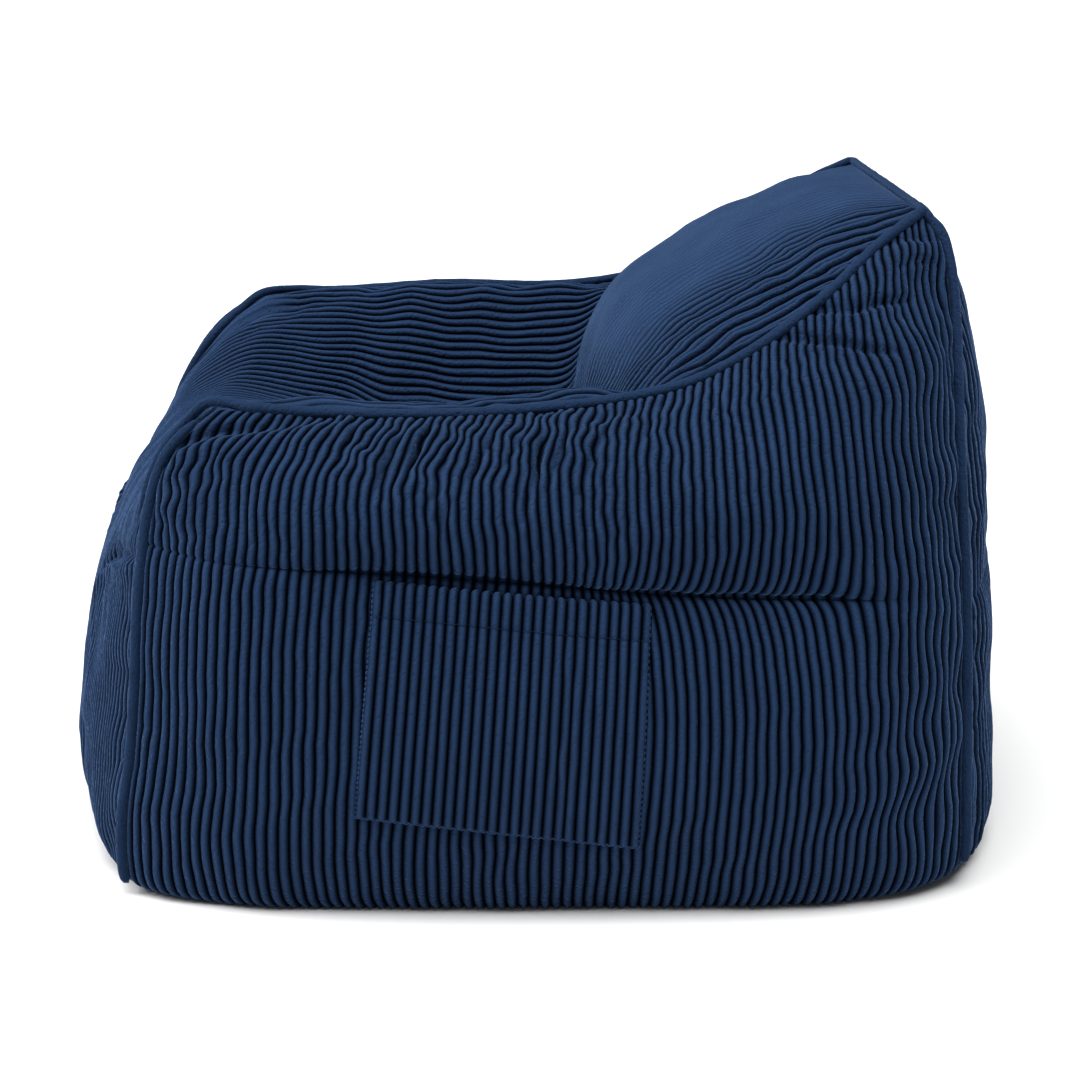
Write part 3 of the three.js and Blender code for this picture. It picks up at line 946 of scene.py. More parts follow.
def side_relief(side, smooth, along, up, ribs_in):
    """The crowns as they show, and the relief in metres."""
    from_foot, from_top, level = side_lengths(smooth)
    from_cord = np.minimum(from_top, ribs_in * RIB_PITCH)
    edge = np.minimum(from_cord, from_foot)
    sewn, flush = 1 - smoothstep(along, *LEVEL_SEWN_FALL), flush_share(along)
    flat = smooth[..., 1:]
    pressed = under_pocket(flat) * (side > 0)

    height = rib_height(smooth, edge, SIDE_RIB_SEED)
    height *= 1 - LEVEL_RIBS_LOSS * sewn * bell(level, LEVEL_RIBS_WIDTH)
    crown = rib_profile(RIB_PLACES) * np.ones_like(along)
    relief = height * (1 - PRESSED_RIBS_LOSS * pressed) * (crown - RIB_MIDDLE)
    relief -= LEVEL_HOLLOW * (1 - flush) * bell(level, LEVEL_HOLLOW_WIDTH)
    thread = mixed(LEVEL_THREAD, LEVEL_THREAD_FLUSH, flush)
    relief -= thread * sewn * bell(level, LEVEL_THREAD_WIDTH)
    relief += lumps(smooth, edge, *SIDE_LUMPS) * (1 - pressed)
    relief -= PRESSED_DEPTH * pressed
    beads = np.clip(ripple(smooth, BEAD_SIZE, BEAD_SEED + side), 0, 2) ** BEAD_ROUNDNESS
    relief -= BEAD_DEPTH * pucker_share(along, up) * smoothstep(from_top, 0, BEADS_RISE) * beads
    relief += (pinched(flat) + shelf(flat)) * smoothstep(from_cord, *PINCHES_RISE)
    relief -= seam_valley(from_cord)
    return unshaded_share(crown, height), relief


# %% Both side panels
def side_panel(name, side):
    along, up, ribs_in, wandered = side_ribs(side)
    smooth = side_surface(side, wandered, up)
    normal = side * panel_normals(lambda share: side_surface(side, share, up), wandered, 0)
    crown, relief = side_relief(side, smooth, along, up, ribs_in)
    points = smooth + normal * relief[..., None]
    width = np.broadcast_to(RIB_PLACES * RIB_PITCH, along.shape)
    uv = np.stack([width, running_length(smooth)], axis=-1)
    if side < 0:
        points, crown, uv = points[:, ::-1], crown[:, ::-1], uv[:, ::-1]
    return sewn_panel(name, points, crown, uv, weld=PANEL_WELD)


near_side = side_panel("near_side_panel", 1)
far_side = side_panel("far_side_panel", -1)

# %% [markdown]
# ## The centre strip
# The strip's ribs run lengthwise, up the front, over the seat and up the backrest. Over the seat
# they spread with the cloth. On the backrest the strip narrows, and the outer ribs run into the
# cords, because a tailor cuts the taper across the ribs.

# %% The strip as ribbed cloth
STRIP_RIBS = 80
STRIP_RIB_SEED = 4
STRIP_LUMPS = (0.002, 0.1, 6)
PAIRED_RISE = (1.55, 1.66)
PAIRED_ACROSS = (0.62, 0.85)
PAIRED_SHARE = 0.38


def half_lengths(stations):
    """The cloth length from the middle to each seam, by station."""
    out = np.linspace(0, 1, 160)
    near = running_length(strip_surface(stations[None, :], out[:, None]))
    far = running_length(strip_surface(stations[None, :], -out[:, None]))
    return out, near, far


def strip_ribs(columns, stations, pitch_of, drift_of):
    """Each rib's place across the strip, and its room: the cloth left up to the nearer seam."""
    out, near, far = half_lengths(stations)
    across = np.zeros((len(stations), len(columns)))
    room = np.zeros_like(across)
    for row, station in enumerate(stations):
        reach = columns * pitch_of(station, (near[-1, row] + far[-1, row]) / STRIP_RIBS)
        reach = reach + drift_of(station, reach)
        to_near = np.interp(reach, near[:, row], out)
        to_far = -np.interp(-reach, far[:, row], out)
        across[row] = np.where(reach >= 0, to_near, to_far)
        room[row] = np.where(reach >= 0, near[-1, row] - reach, far[-1, row] + reach)
    return across, room


def strip_panel(name, stations, pitch_of, drift_of, height_of, dents):
    columns = rib_columns(STRIP_RIBS) - STRIP_RIBS / 2
    across, room = strip_ribs(columns, stations, pitch_of, drift_of)
    station = np.broadcast_to(stations[:, None], across.shape)
    smooth = strip_surface(station, across)
    normal = panel_normals(lambda share: strip_surface(station, share), across, -1)

    length = running_length(smooth)
    from_end = np.minimum(length, length[-1] - length)
    edge = np.minimum(np.maximum(room, 0), from_end)
    beside_cord = smoothstep(station, *PAIRED_RISE) * smoothstep(across, *PAIRED_ACROSS)
    paired = PAIRED_SHARE * beside_cord * np.cos(np.pi * np.floor(columns))
    height = rib_height(smooth, edge, STRIP_RIB_SEED) * height_of(station, across, room)
    height = height * (1 + paired)
    crown = rib_profile(columns + STRIP_RIBS)[None, :] * np.ones_like(across)
    relief = height * (crown - RIB_MIDDLE) + lumps(smooth, edge, *STRIP_LUMPS)
    relief += dents(smooth, station, room) - seam_valley(room)
    points = smooth + normal * relief[..., None]
    uv = np.stack([np.broadcast_to(columns[None, :], across.shape) * RIB_PITCH, length], axis=-1)
    return sewn_panel(name, points, unshaded_share(crown, height), uv, weld=PANEL_WELD)


def even_stations(start, end, step):
    """Stations that are even in cloth length, between the middle and the seam."""
    station = np.linspace(start, end, 800)
    length = (running_length(strip_point(station, 0)) + running_length(strip_point(station, 1))) / 2
    count = int(math.ceil(length[-1] / step))
    return np.interp(np.linspace(0, length[-1], count + 1), length, station)


# %% The ribs' pitch and drift on the strip
OWN_PITCH_RISE = (1.44, 1.62)
DRIFT_RISE = (1.0, 1.1)
SWING = (0.06, 61)
SWING_ON_SEAT = 0.004
SWING_ON_BACK = 0.003
SWING_RISE = (1.5, 1.6)
KINKS = (0.024, 62)
KINK_WIDTH = 0.0026
KINKS_RISE = (1.55, 1.65)
KINKS_REACH = (0.10, 0.20)
WAVES_ACROSS = 0.5
WAVES_LENGTHWISE = 0.6


def seat_pitch(station, even):
    """Even across the front and seat, and the cloth's own pitch on the backrest."""
    return mixed(even, RIB_PITCH, smoothstep(station, *OWN_PITCH_RISE))


def seat_drift(station, reach):
    """Slow waves in the ribs, which the whole strip shares, so they never cross."""
    lengthwise = np.full_like(reach, station * WAVES_LENGTHWISE)
    here = np.stack([WAVES_ACROSS * reach, lengthwise], axis=-1)
    swing = SWING_ON_SEAT + SWING_ON_BACK * smoothstep(station, *SWING_RISE)
    kinks = KINK_WIDTH * smoothstep(station, *KINKS_RISE) * smoothstep(reach, *KINKS_REACH)
    waves = swing * ripple(here, *SWING) + kinks * ripple(here, *KINKS)
    return waves * smoothstep(station, *DRIFT_RISE)


# %% Where the strip's ribs are stretched flat
BACK_RISE = (1.52, 1.66)
BACK_MIDDLE_FALL = (0.50, 0.86)
BACK_LOSS = 0.92
ROPES_RISE = (0.70, 0.92)
ROPES_GAIN = 0.3
NEAR_CREST_RISE = (1.0, 1.08)
NEAR_CREST_FALL = (1.26, 1.36)
NEAR_CREST_ACROSS = (0.84, 0.94)
FRONT_FALL_STATIONS = (0.86, 0.98)
BESIDE_SEAM = (0.012, 0.05)
STRETCHED_LOSS = 0.75
ROLLS_LOSS = 0.9
ROLLS_RISE = (0.76, 0.90)
ROLLS_FALL = (1.00, 1.08)
ROLLS_ROOM = (0.065, 0.085)


def corner_rolls_share(station, room):
    """Where the cord's cloth gathers into rolls at the arms' front corners."""
    return window(station, ROLLS_RISE, ROLLS_FALL) * (1 - smoothstep(room, *ROLLS_ROOM))


def seat_height(station, across, room):
    """Ribs lie flatter where the backrest, the near crest and the front seams stretch them."""
    on_back = smoothstep(station, *BACK_RISE)
    middle = 1 - smoothstep(across, *BACK_MIDDLE_FALL)
    crest = window(station, NEAR_CREST_RISE, NEAR_CREST_FALL)
    crest = crest * smoothstep(across, *NEAR_CREST_ACROSS)
    beside = (1 - smoothstep(station, *FRONT_FALL_STATIONS)) * (1 - smoothstep(room, *BESIDE_SEAM))
    height = 1 + ROPES_GAIN * on_back * smoothstep(across, *ROPES_RISE)
    height = height * (1 - BACK_LOSS * on_back * middle)
    height = height * (1 - STRETCHED_LOSS * crest) * (1 - STRETCHED_LOSS * beside)
    return height * (1 - ROLLS_LOSS * corner_rolls_share(station, room))


def rear_height(station, across, room):
    """The rear panel is stretched smooth beside its cords."""
    return 1 - STRETCHED_LOSS * (1 - smoothstep(room, *BESIDE_SEAM))


# %% Folds on the strip
FRONT_FOLD = [
    (0.318, 0.330), (0.262, 0.314), (0.205, 0.300), (0.160, 0.286), (0.128, 0.262), (0.112, 0.231),
    (0.132, 0.193), (0.165, 0.150),
]
FRONT_FOLD_FALL = (0.7, 0.85)
FOLD_CREASE = 0.009
FOLD_CREASE_WIDTH = 0.006
FOLD_LIP = 0.006
FOLD_LIP_DROP = 0.012
FOLD_LIP_WIDTH = 0.010
FOLD_EASING = 0.6
FOLD_FULLNESS = 0.5
ROLL_GAPS = [(0.017, 0.009), (0.062, 0.005)]
ROLL_GAP_WIDTH = 0.008


def seat_dents(smooth, station, room):
    """The gaps between the corner rolls, and the fold on each half of the front."""
    gaps = sum(depth * bell(room - at, ROLL_GAP_WIDTH) for at, depth in ROLL_GAPS)
    flat = np.stack([np.abs(smooth[..., 0]), smooth[..., 2]], axis=-1)
    gap, share = distance_to(FRONT_FOLD, flat)
    fade = arch(share**FOLD_EASING, FOLD_FULLNESS) * (1 - smoothstep(station, *FRONT_FOLD_FALL))
    lip = FOLD_LIP * bell(gap - FOLD_LIP_DROP, FOLD_LIP_WIDTH)
    fold = lip - FOLD_CREASE * bell(gap, FOLD_CREASE_WIDTH)
    return fade * fold - gaps * corner_rolls_share(station, room)


# %% The strip's two panels
STRIP_STEP = 0.0085
REAR_STEP = 0.009

seat_strip = strip_panel(
    "front_seat_back_strip", even_stations(0, 2, STRIP_STEP),
    seat_pitch, seat_drift, seat_height, seat_dents)
rear_strip = strip_panel(
    "rear_panel", even_stations(2, 3, REAR_STEP),
    lambda station, even: RIB_PITCH, lambda station, reach: 0,
    rear_height, lambda smooth, station, room: 0)

# %% The underside
BASE_RIBS = 68
BASE_ROWS = 40
BASE_WIDTH = 0.68
BASE_DEPTH = 0.8
BASE_RIB_HEIGHT = 0.0016
BASE_LIFT = 0.0004
base_columns = rib_columns(BASE_RIBS)
base_across, base_along = np.meshgrid(base_columns / BASE_RIBS, eased(BASE_ROWS, 0, 1))
base_points = base_point(1 - base_across, base_along)
base_crown = rib_profile(base_columns)[None, :] * np.ones_like(base_across)
base_relief = BASE_RIB_HEIGHT * (1 - base_crown) + BASE_LIFT
base_points[..., 2] = np.maximum(base_points[..., 2], 0) + base_relief
base_uv = np.stack([base_across * BASE_WIDTH, base_along * BASE_DEPTH], axis=-1)
base_panel = sewn_panel("base_panel", base_points, base_crown, base_uv)

# %% [markdown]
# ## Cords
# A cord covered in the same velvet is sewn into every seam. It is a round tube on the outside of
# the seam, thinned to nothing at each end where it dives back into the seam.

# %% A tube of cloth along a line
AROUND = 16
TUBE_REFERENCE = np.array([1.0, 0.35, 0.2])
SLOW_WOBBLE = (0.05, 0.03, 8)
FAST_WOBBLE = (0.03, 0.012, 9)
CORD_CLOTH_WIDTH = 0.031
# With this crown value, about a third of each cord's colour comes from the nearly black groove
# shader.
CORD_CROWN = 0.9
CORD_WELD = 0.00002


def cloth_tube(node, line, radius, start_taper=0.012, end_taper=0.012):
    """A tube whose radius closes smoothly at both ends, in the place of a cord's node."""
    length = running_length(line)
    run = unit(np.gradient(line, axis=0))
    side = unit(np.cross(run, TUBE_REFERENCE))
    other = np.cross(run, side)
    size = np.full(len(line), float(radius))
    for distance, taper in ((length, start_taper), (length[-1] - length, end_taper)):
        size *= np.sqrt(1 - (1 - np.clip(distance / taper, 0, 1)) ** 2)
    size *= 1 + sum(
        height * ripple(line, wave, seed) for height, wave, seed in (SLOW_WOBBLE, FAST_WOBBLE))
    angle = np.linspace(0, -2 * np.pi, AROUND + 1)[None, :, None]
    ring = np.cos(angle) * side[:, None] + np.sin(angle) * other[:, None]
    work = laid_grid(line[:, None] + ring * size[:, None, None])
    mark_crown(work, np.full(len(work.verts), CORD_CROWN))
    place = np.broadcast_arrays(angle[..., 0] / (2 * np.pi) * CORD_CLOTH_WIDTH, length[:, None])
    mark_place(work, np.stack(place, axis=-1))
    bmesh.ops.remove_doubles(work, verts=work.verts, dist=CORD_WELD)
    bmesh.ops.recalc_face_normals(work, faces=work.faces)
    return cloth_piece(f"{node}_tube", work, node)


# %% Where the cords run
CORD_RADIUS = 0.005
CORD_STAND_OFF = -0.0012
CORD_SIDEWAYS_LEAN = 0.8
CORD_STEP = 0.004
LOOK_AHEAD = 0.002


def cord_line(side, stations):
    """The cord's middle: outside the seam, leaning to the side."""
    ahead = seam_point(side, np.minimum(stations + LOOK_AHEAD, 3))
    run = unit(ahead - seam_point(side, np.maximum(stations - LOOK_AHEAD, 0)))
    out = unit(np.stack([0 * stations, -run[:, 2], run[:, 1]], axis=-1))
    out[:, 0] = side * CORD_SIDEWAYS_LEAN
    return seam_point(side, stations) + unit(out) * (CORD_RADIUS + CORD_STAND_OFF)


def seam_cord_line(side, start, end):
    """The cord's middle between two stations, in even steps."""
    stations = np.linspace(start, end, 400)
    length = running_length(cord_line(side, stations))
    count = int(length[-1] / CORD_STEP)
    return cord_line(side, np.interp(np.linspace(0, length[-1], count), length, stations))


# %% The arm's cord, whose tail lies on the strip: rows of station, across and lift
TAIL = [
    (0.68, 0.87, -0.004), (0.75, 0.87, 0.001), (0.82, 0.875, 0.004), (0.88, 0.885, 0.0055),
    (0.94, 0.905, 0.006), (0.99, 0.94, 0.005),
]
TAIL_LOOK_AHEAD = 0.01
TOP_RUN = (1.04, 1.998)
TOP_ROWS = 60
TOP_TIP = np.array([0, 0.004, 0.001])
TOP_LENGTH = 0.84


def top_cord_line(side):
    """The arm's cord, with a tail that runs down over the front cord's tip onto the strip."""
    tail = []
    for station, across, lift in TAIL:
        run = strip_point(station + TAIL_LOOK_AHEAD, side * across)
        run = run - strip_point(station - TAIL_LOOK_AHEAD, side * across)
        out = np.array([0, -run[2], run[1]]) / np.linalg.norm(run[1:])
        tail.append(strip_point(station, side * across) + out * lift)
    along_seam = cord_line(side, np.linspace(*TOP_RUN, TOP_ROWS))
    tip = seam_point(side, 2.0) + TOP_TIP
    line = evened(smooth_line(np.concatenate([tail, along_seam, [tip]])))
    return line(np.linspace(0, 1, int(TOP_LENGTH / CORD_STEP)))


# %% Three cords a side, and how fast each closes at its start and end
FRONT_RUN = (0.02, 0.958)
REAR_RUN = (2.005, 2.98)
CORD_TAPERS = {"front": (0.012, 0.03), "top": (0.09, 0.006), "rear": (0.02, 0.012)}

cords = []
for side_name, side in (("near", 1), ("far", -1)):
    lines = {
        "front": seam_cord_line(side, *FRONT_RUN),
        "top": top_cord_line(side),
        "rear": seam_cord_line(side, *REAR_RUN),
    }
    for run_name, line in lines.items():
        node = f"{side_name}_{run_name}_cord"
        cords.append(cloth_tube(node, line, CORD_RADIUS, *CORD_TAPERS[run_name]))

# %% The cord across the top of the back
BACK_CORD_RADIUS = 0.0044
BACK_CORD_ENDS = 2.03
BACK_CORD_REACH = 0.99
BACK_CORD_ROWS = 12
BACK_CORD_RINGS = 130
BACK_CORD_OFFSET = np.array([0, 0.001, 0.0018])

back_rows = np.concatenate([
    seam_point(-1, np.array([BACK_CORD_ENDS])),
    strip_point(2.0, np.linspace(-BACK_CORD_REACH, BACK_CORD_REACH, BACK_CORD_ROWS)),
    seam_point(1, np.array([BACK_CORD_ENDS]))])
back_line = evened(smooth_line(back_rows))(np.linspace(0, 1, BACK_CORD_RINGS))
back_line += BACK_CORD_OFFSET
cords.append(cloth_tube("back_top_cord", back_line, BACK_CORD_RADIUS))
print(len(cords), "cords")

# %% [markdown]
# ## The pocket
# The pocket is one patch of the same corduroy, sewn down on three sides of the lower band, with
# its upper edge turned over as a hem and left open. It gapes a little, because the side swells.

# %% The pocket's surface
POCKET_OFFSET = 0.0012
POCKET_MOUTH_START = 0.86
POCKET_GAPE = 0.75
POCKET_GAPE_FULLNESS = 0.6
BAND_LENGTH = 0.79
BAND_HEIGHT = 0.33
CORRECTIONS = 12


def band_place(y, z):
    """Finds the lower band's own coordinates at a depth and height, by correction."""
    along, up = np.full(y.shape, 0.5), np.full(y.shape, 0.5)
    for _ in range(CORRECTIONS):
        point = lower_band(1, along, up)
        along = along + (y - point[..., 1]) / BAND_LENGTH
        up = up + (z - point[..., 2]) / BAND_HEIGHT
    return along, up


def pocket_point(across, up):
    """A point of the pocket's inner face."""
    def corner(key, part):
        return mixed(POCKET_FRONT[key][part], POCKET_REAR[key][part], across)

    y = mixed(corner("bottom", 0), corner("top", 0), up)
    z = mixed(corner("bottom", 1), corner("top", 1), up)
    along, height = band_place(y, z)
    on_band = side_surface(1, along, np.clip(height, 0, 1))[..., 0]
    proud = side_surface(1, along, np.minimum(height, POCKET_MOUTH_START))[..., 0]
    gape = POCKET_GAPE * arch(across, POCKET_GAPE_FULLNESS)
    x = mixed(on_band, np.maximum(on_band, proud), gape)
    return np.stack([x + POCKET_OFFSET, y, z], axis=-1)


# %% The pocket's rows and columns
POCKET_RIBS = 26
POCKET_ROWS = 60
POCKET_EASING = 0.8
POCKET_WIDTH = 0.25
POCKET_HEIGHT = 0.22
HEM_DEPTH = 0.031
HEM_STEPS = np.array([0.0016, 0.0008, 0, -0.0008, -0.0016])
HEM_ROWS = 1 - (HEM_DEPTH + HEM_STEPS) / POCKET_HEIGHT
HEM_CLEARANCE = 0.010

columns = rib_columns(POCKET_RIBS)
rows = eased(POCKET_ROWS, 0, 1, POCKET_EASING)
rows = rows[np.abs(rows - HEM_ROWS[2]) > HEM_CLEARANCE]
rows = np.sort(np.concatenate([rows, HEM_ROWS]))
pocket_across, pocket_up = np.meshgrid(columns / POCKET_RIBS, rows)
pocket_smooth = pocket_point(pocket_across, pocket_up)
pocket_normal = outward_normals(pocket_smooth)
pocket_crown = rib_profile(columns)[None, :] * np.ones_like(pocket_across)
from_side = np.minimum(columns, POCKET_RIBS - columns)[None, :] * RIB_PITCH
from_bottom, from_mouth = pocket_up * POCKET_HEIGHT, (1 - pocket_up) * POCKET_HEIGHT
print("pocket grid:", pocket_across.shape)

# %% The pocket's ribs, hem and rounded, scalloped mouth
SEWN_RISE = 0.0045
TIP_DEPTH = 0.008
HEM_THICKNESS = 0.0008
HEM_STEP_WIDTH = 0.001
HEM_THREAD = 0.0017
HEM_THREAD_WIDTH = 0.0010
POCKET_THICKNESS = 0.0032
POCKET_RIB_HEIGHT = 0.9 * RIB_HEIGHT
THICKNESS_AT_MOUTH = 0.15
THICKNESS_AT_SEAM = 0.35
SCALLOP = 0.0055
SCALLOP_DEPTH = 0.009

sewn_down = smoothstep(np.minimum(from_side, from_bottom), 0, SEWN_RISE)
tip = np.sqrt(1 - (1 - np.clip(from_mouth / TIP_DEPTH, 0, 1)) ** 2)
hem = HEM_THICKNESS * smoothstep(
    from_mouth, HEM_DEPTH + HEM_STEP_WIDTH, HEM_DEPTH - HEM_STEP_WIDTH)
hem -= HEM_THREAD * bell(from_mouth - HEM_DEPTH, HEM_THREAD_WIDTH)
pocket_ribs = POCKET_RIB_HEIGHT * (pocket_crown - RIB_MIDDLE) * sewn_down
pocket_relief = POCKET_THICKNESS + pocket_ribs + hem
pocket_relief *= mixed(THICKNESS_AT_MOUTH, 1, tip) * mixed(THICKNESS_AT_SEAM, 1, sewn_down)
pocket_points = pocket_smooth + pocket_normal * pocket_relief[..., None]
pocket_points[..., 2] -= SCALLOP * (1 - pocket_crown) * bell(from_mouth, SCALLOP_DEPTH)
pocket_uv = np.stack([pocket_across * POCKET_WIDTH, from_bottom], axis=-1)
pocket = sewn_panel("pocket_patch", pocket_points, pocket_crown, pocket_uv, node="side_pocket")

# %% [markdown]
# ## Stitches
# Thread pulls the pocket down along its sides and bottom, and holds the turned hem. Each stitch
# is a small flattened ball of few faces, because there are hundreds of them.

# %% Stitches along a line
STITCH_LOOK_AHEAD = 0.001
STITCH_LIFT = 0.0002


def stitched(work, line, facing_line, pitch, length, thickness):
    """Adds a row of stitches that lie along the line."""
    line = line + facing_line * STITCH_LIFT
    distance = running_length(line)
    count = int(distance[-1] / pitch)
    for number in range(count):
        here = (number + 0.5) / count * distance[-1]
        place, ahead, facing = (
            Vector([np.interp(at, distance, values[:, axis]) for axis in range(3)])
            for at, values in (
                (here, line), (here + STITCH_LOOK_AHEAD, line), (here, facing_line)))
        run = (ahead - place).normalized()
        beside = facing.cross(run).normalized()
        turn = Matrix((run * length, beside * thickness, facing.normalized() * thickness))
        turn = Matrix.Translation(place) @ turn.transposed().to_4x4()
        bmesh.ops.create_uvsphere(work, u_segments=6, v_segments=4, radius=0.5, matrix=turn)


# %% Four rows of stitches: where they lie, then pitch, length and thickness
STITCH_EDGE = 0.0025
EDGE_COLUMN = 2

bottom_row = int(np.argmin(np.abs(rows * POCKET_HEIGHT - STITCH_EDGE)))
hem_row = int(np.argmin(np.abs(rows - HEM_ROWS[2])))
stitch_work = bmesh.new()
for key, pitch, length, thickness in (
        ((bottom_row, slice(None)), 0.0052, 0.0056, 0.0034),
        ((slice(None), EDGE_COLUMN), 0.0050, 0.0050, 0.0026),
        ((slice(None), len(columns) - 1 - EDGE_COLUMN), 0.0060, 0.0040, 0.0018),
        ((hem_row, slice(None)), 0.0060, 0.0040, 0.0009)):
    stitched(stitch_work, pocket_points[key], pocket_normal[key], pitch, length, thickness)
mark_crown(stitch_work, np.ones(len(stitch_work.verts)))
stitches = cloth_piece("pocket_stitches", stitch_work, "side_pocket")

# %% [markdown]
# ## Materials
# The velvet pile is matt with a soft sheen, and brushed lighter and darker in patches where the
# pile leans another way. Each groove gets a nearly black painted shade, where little light gets in.

# %% Shader maths as Python expressions
def maths(operation, reflected=False):
    """An operator of Level, which adds a Math node."""
    def joined(self, other):
        first, second = (other, self) if reflected else (self, other)
        return self.finish.node("Math", {"operation": operation}, {0: first, 1: second})

    return joined


class Level:
    """A socket that can be added to, multiplied and so on, with Math nodes."""

    def __init__(self, finish, socket):
        self.finish, self.socket = finish, socket

    __add__ = __radd__ = maths("ADD")
    __sub__ = maths("SUBTRACT")
    __rsub__ = maths("SUBTRACT", reflected=True)
    __mul__ = __rmul__ = maths("MULTIPLY")
    __pow__ = maths("POWER")


class Finish:
    """A material and its nodes."""

    def __init__(self, name):
        self.material = bpy.data.materials.new(name)
        self.material.use_nodes = True
        self.tree = self.material.node_tree
        self.shader = self.tree.nodes["Principled BSDF"]
        self.output = self.tree.nodes["Material Output"]

    def node(self, kind, settings=None, inputs=None, output=0):
        """Adds a node: its settings first, then values or links for its sockets."""
        made = self.tree.nodes.new(f"ShaderNode{kind}")
        for key, value in (settings or {}).items():
            setattr(made, key, value)
        self.feed(made, inputs or {})
        return Level(self, made.outputs[output])

    def feed(self, node, inputs):
        for key, value in inputs.items():
            if isinstance(value, Level):
                self.tree.links.new(value.socket, node.inputs[key])
            else:
                node.inputs[key].default_value = value

    def noise(self, where, scale, detail):
        return self.node("TexNoise", {}, {
            "Vector": where, "Scale": scale, "Detail": detail, "Roughness": NOISE_ROUGHNESS})


# %% Corduroy and cord: colours, then each noise's scale and detail
# The first colour is a nearly black painted shade for the groove between ribs.
NAVY_GROOVE_PAINTED_SHADE = (0.0002, 0.0009, 0.0032, 1)
NAVY_CROWN = (0.0116, 0.0286, 0.0720, 1)
SHEEN_TINT = (0.30, 0.52, 1.0, 1)
PATCHES = (9.0, 2.0)
BRUSHED = (55.0, 3.0)
PILE = (900.0, 2.0)
MARKS = (260.0, 1.0)
NOISE_ROUGHNESS = 0.55
MARK_SHARPNESS = 5.0
# How narrow the painted groove shade is, as a power of the crown value.
GROOVE_SHADE_NARROWNESS = 3.4
DARKEST = 0.42
PATCH_SHADE = 0.35
BRUSHED_SHADE = 0.35
PILE_SHADE = 0.5
SMOOTHEST = 0.72
ROUGHER = 0.2
PILE_DEPTH = 0.0004
PILE_BUMP = 0.7
BRUSHED_BUMP = 0.8
MARK_BUMP = 20.0
BUMP_STRENGTH = 0.6


def corduroy(name):
    """A sheeny shader for the crowns, over a dull, nearly black one: painted shade in the groove.
    """
    finish = Finish(name)
    where = finish.node("TexCoord", output=3)
    crown = finish.node("Attribute", {"attribute_name": "crown"}, output=2)
    patches, brushed, pile = (finish.noise(where, *kind) for kind in (PATCHES, BRUSHED, PILE))
    marks = finish.noise(where, *MARKS) ** MARK_SHARPNESS
    shade = patches * PATCH_SHADE + brushed * BRUSHED_SHADE + pile * PILE_SHADE + DARKEST
    grey = finish.node("CombineColor", {}, {0: shade, 1: shade, 2: shade})
    colour = finish.node(
        "Mix", {"data_type": "RGBA", "blend_type": "MULTIPLY"}, {0: 1.0, 6: NAVY_CROWN, 7: grey},
        output=2)
    bump = finish.node("Bump", {}, {
        "Strength": BUMP_STRENGTH, "Distance": PILE_DEPTH,
        "Height": pile * PILE_BUMP + brushed * BRUSHED_BUMP - marks * MARK_BUMP})
    finish.feed(finish.shader, {
        "Base Color": colour, "Roughness": brushed * ROUGHER + SMOOTHEST, "Normal": bump,
        "Sheen Weight": 0.25, "Sheen Roughness": 0.4, "Sheen Tint": SHEEN_TINT,
        "Specular IOR Level": 0.05})
    crowns = Level(finish, finish.shader.outputs[0])
    # Painted groove shade: a dull, nearly black shader, mixed in where the crown value is low.
    groove_painted_shade = finish.node("BsdfPrincipled", {}, {
        "Base Color": NAVY_GROOVE_PAINTED_SHADE, "Roughness": 0.95, "Specular IOR Level": 0.02})
    shown = finish.node("MixShader", {}, {0: crown ** GROOVE_SHADE_NARROWNESS, 1: groove_painted_shade, 2: crowns})
    finish.feed(finish.output, {"Surface": shown})
    return finish.material


# %% Give every piece its cloth
cloth_finish = corduroy("navy_corduroy")
cord_finish = corduroy("navy_cord")

for panel in (near_side, far_side, seat_strip, rear_strip, base_panel):
    panel.data.materials.append(cloth_finish)
for tube in (*cords, stitches):
    tube.data.materials.append(cord_finish)
pocket.data.materials.append(cloth_finish)

# %% [markdown]
# ## Floor, light and camera
# The chair stands on a pale floor under two big soft lights, as in a studio. The stronger one
# hangs overhead, and the weaker one is high on the sitter's side, so every rib has a light flank
# and a dark one. The sky is bright only near the horizon, so that it fills the shadows a little.

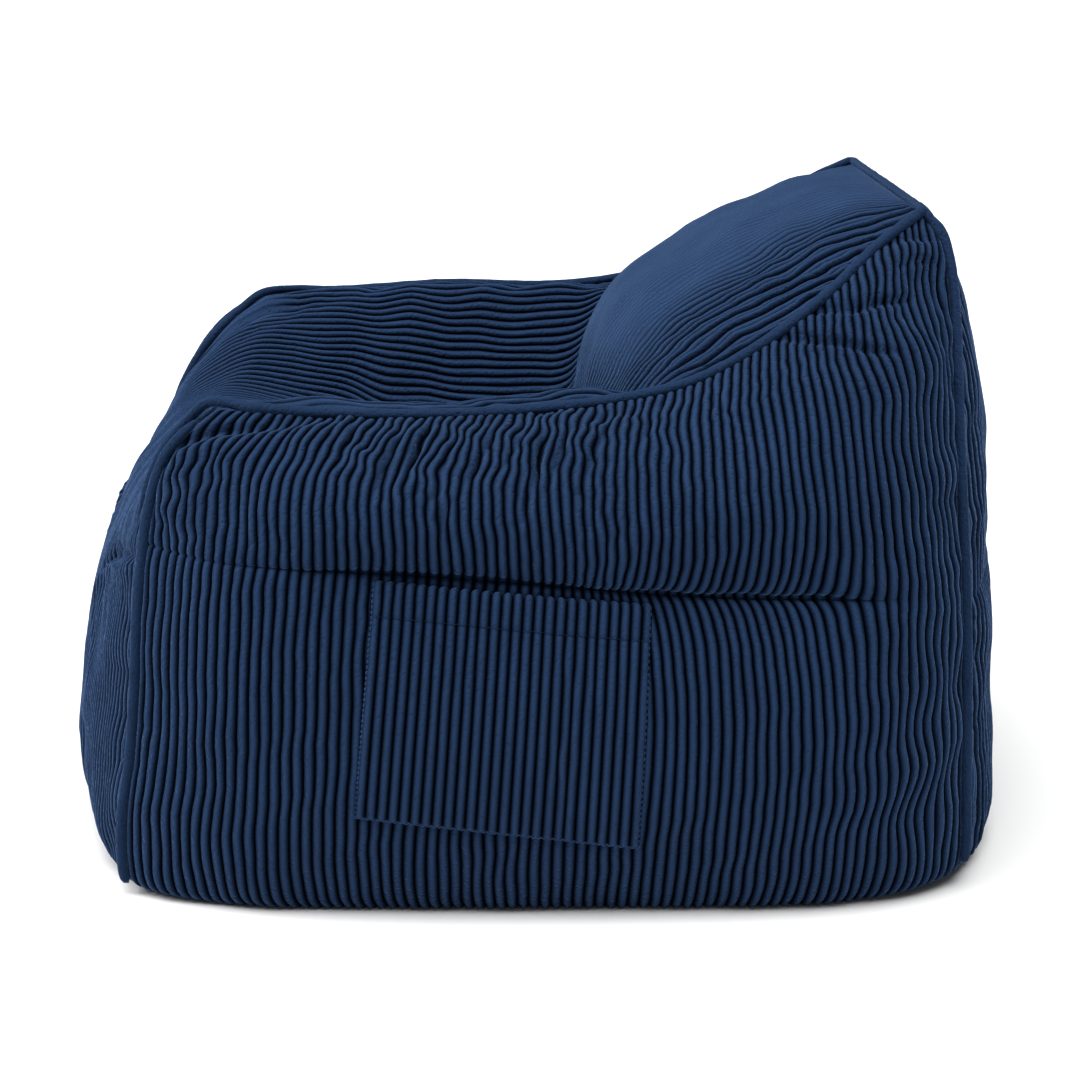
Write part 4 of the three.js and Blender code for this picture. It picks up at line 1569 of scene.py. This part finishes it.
# %% Floor
FLOOR_SIZE = 300
FLOOR_COLOUR = (0.78, 0.78, 0.78, 1)
floor_work = bmesh.new()
bmesh.ops.create_grid(floor_work, x_segments=1, y_segments=1, size=FLOOR_SIZE / 2)
floor = placed("floor", floor_work)
floor_finish = Finish("pale_floor")
floor_finish.feed(floor_finish.shader, {"Base Color": FLOOR_COLOUR, "Roughness": 0.9})
floor.data.materials.append(floor_finish.material)

# %% Sky: its strength falls from 0.6 at the horizon to 0.15 above
SKY_FALL = {"From Min": 0.03, "From Max": 0.16, "To Min": 0.6, "To Max": 0.15}
world = bpy.data.worlds.new("studio")
bpy.context.scene.world = world
world.use_nodes = True
sky = world.node_tree.nodes
backdrop = sky["Background"]
backdrop.inputs["Color"].default_value = (1, 1, 1, 1)
way = sky.new("ShaderNodeTexCoord")
parts = sky.new("ShaderNodeSeparateXYZ")
fall = sky.new("ShaderNodeMapRange")
for key, value in SKY_FALL.items():
    fall.inputs[key].default_value = value
link = world.node_tree.links.new
link(way.outputs["Generated"], parts.inputs[0])
link(parts.outputs["Z"], fall.inputs["Value"])
link(fall.outputs["Result"], backdrop.inputs["Strength"])

# %% Lights: the way to each, its strength, and its width in degrees
LIGHTS = {
    "key": ((0.22, -0.80, 0.80), 2.7, 34),
    "top": ((0.22, 0.02, 1.0), 4.4, 50),
}
for name, (towards, strength, width) in LIGHTS.items():
    lamp = bpy.data.lights.new(name, "SUN")
    lamp.energy = strength
    lamp.angle = math.radians(width)
    light = bpy.data.objects.new(name, lamp)
    light.rotation_euler = Vector(towards).to_track_quat("Z", "Y").to_euler()
    bpy.context.collection.objects.link(light)

# %% Camera
CAMERA_PLACE = (2.572, -0.068, 0.928)
CAMERA_TURN = (math.radians(75.4), 0, math.radians(88.3))
FOCAL_PIXELS = 2500
PHOTO_PIXELS = 1080
SENSOR = 36
camera = bpy.data.objects.new("camera", bpy.data.cameras.new("camera"))
camera.data.lens = FOCAL_PIXELS / PHOTO_PIXELS * SENSOR
camera.data.sensor_width = SENSOR
camera.location = CAMERA_PLACE
camera.rotation_euler = CAMERA_TURN
bpy.context.collection.objects.link(camera)
bpy.context.scene.camera = camera
bpy.context.scene.view_settings.view_transform = "Standard"

# %% The end
bpy.context.view_layer.update()
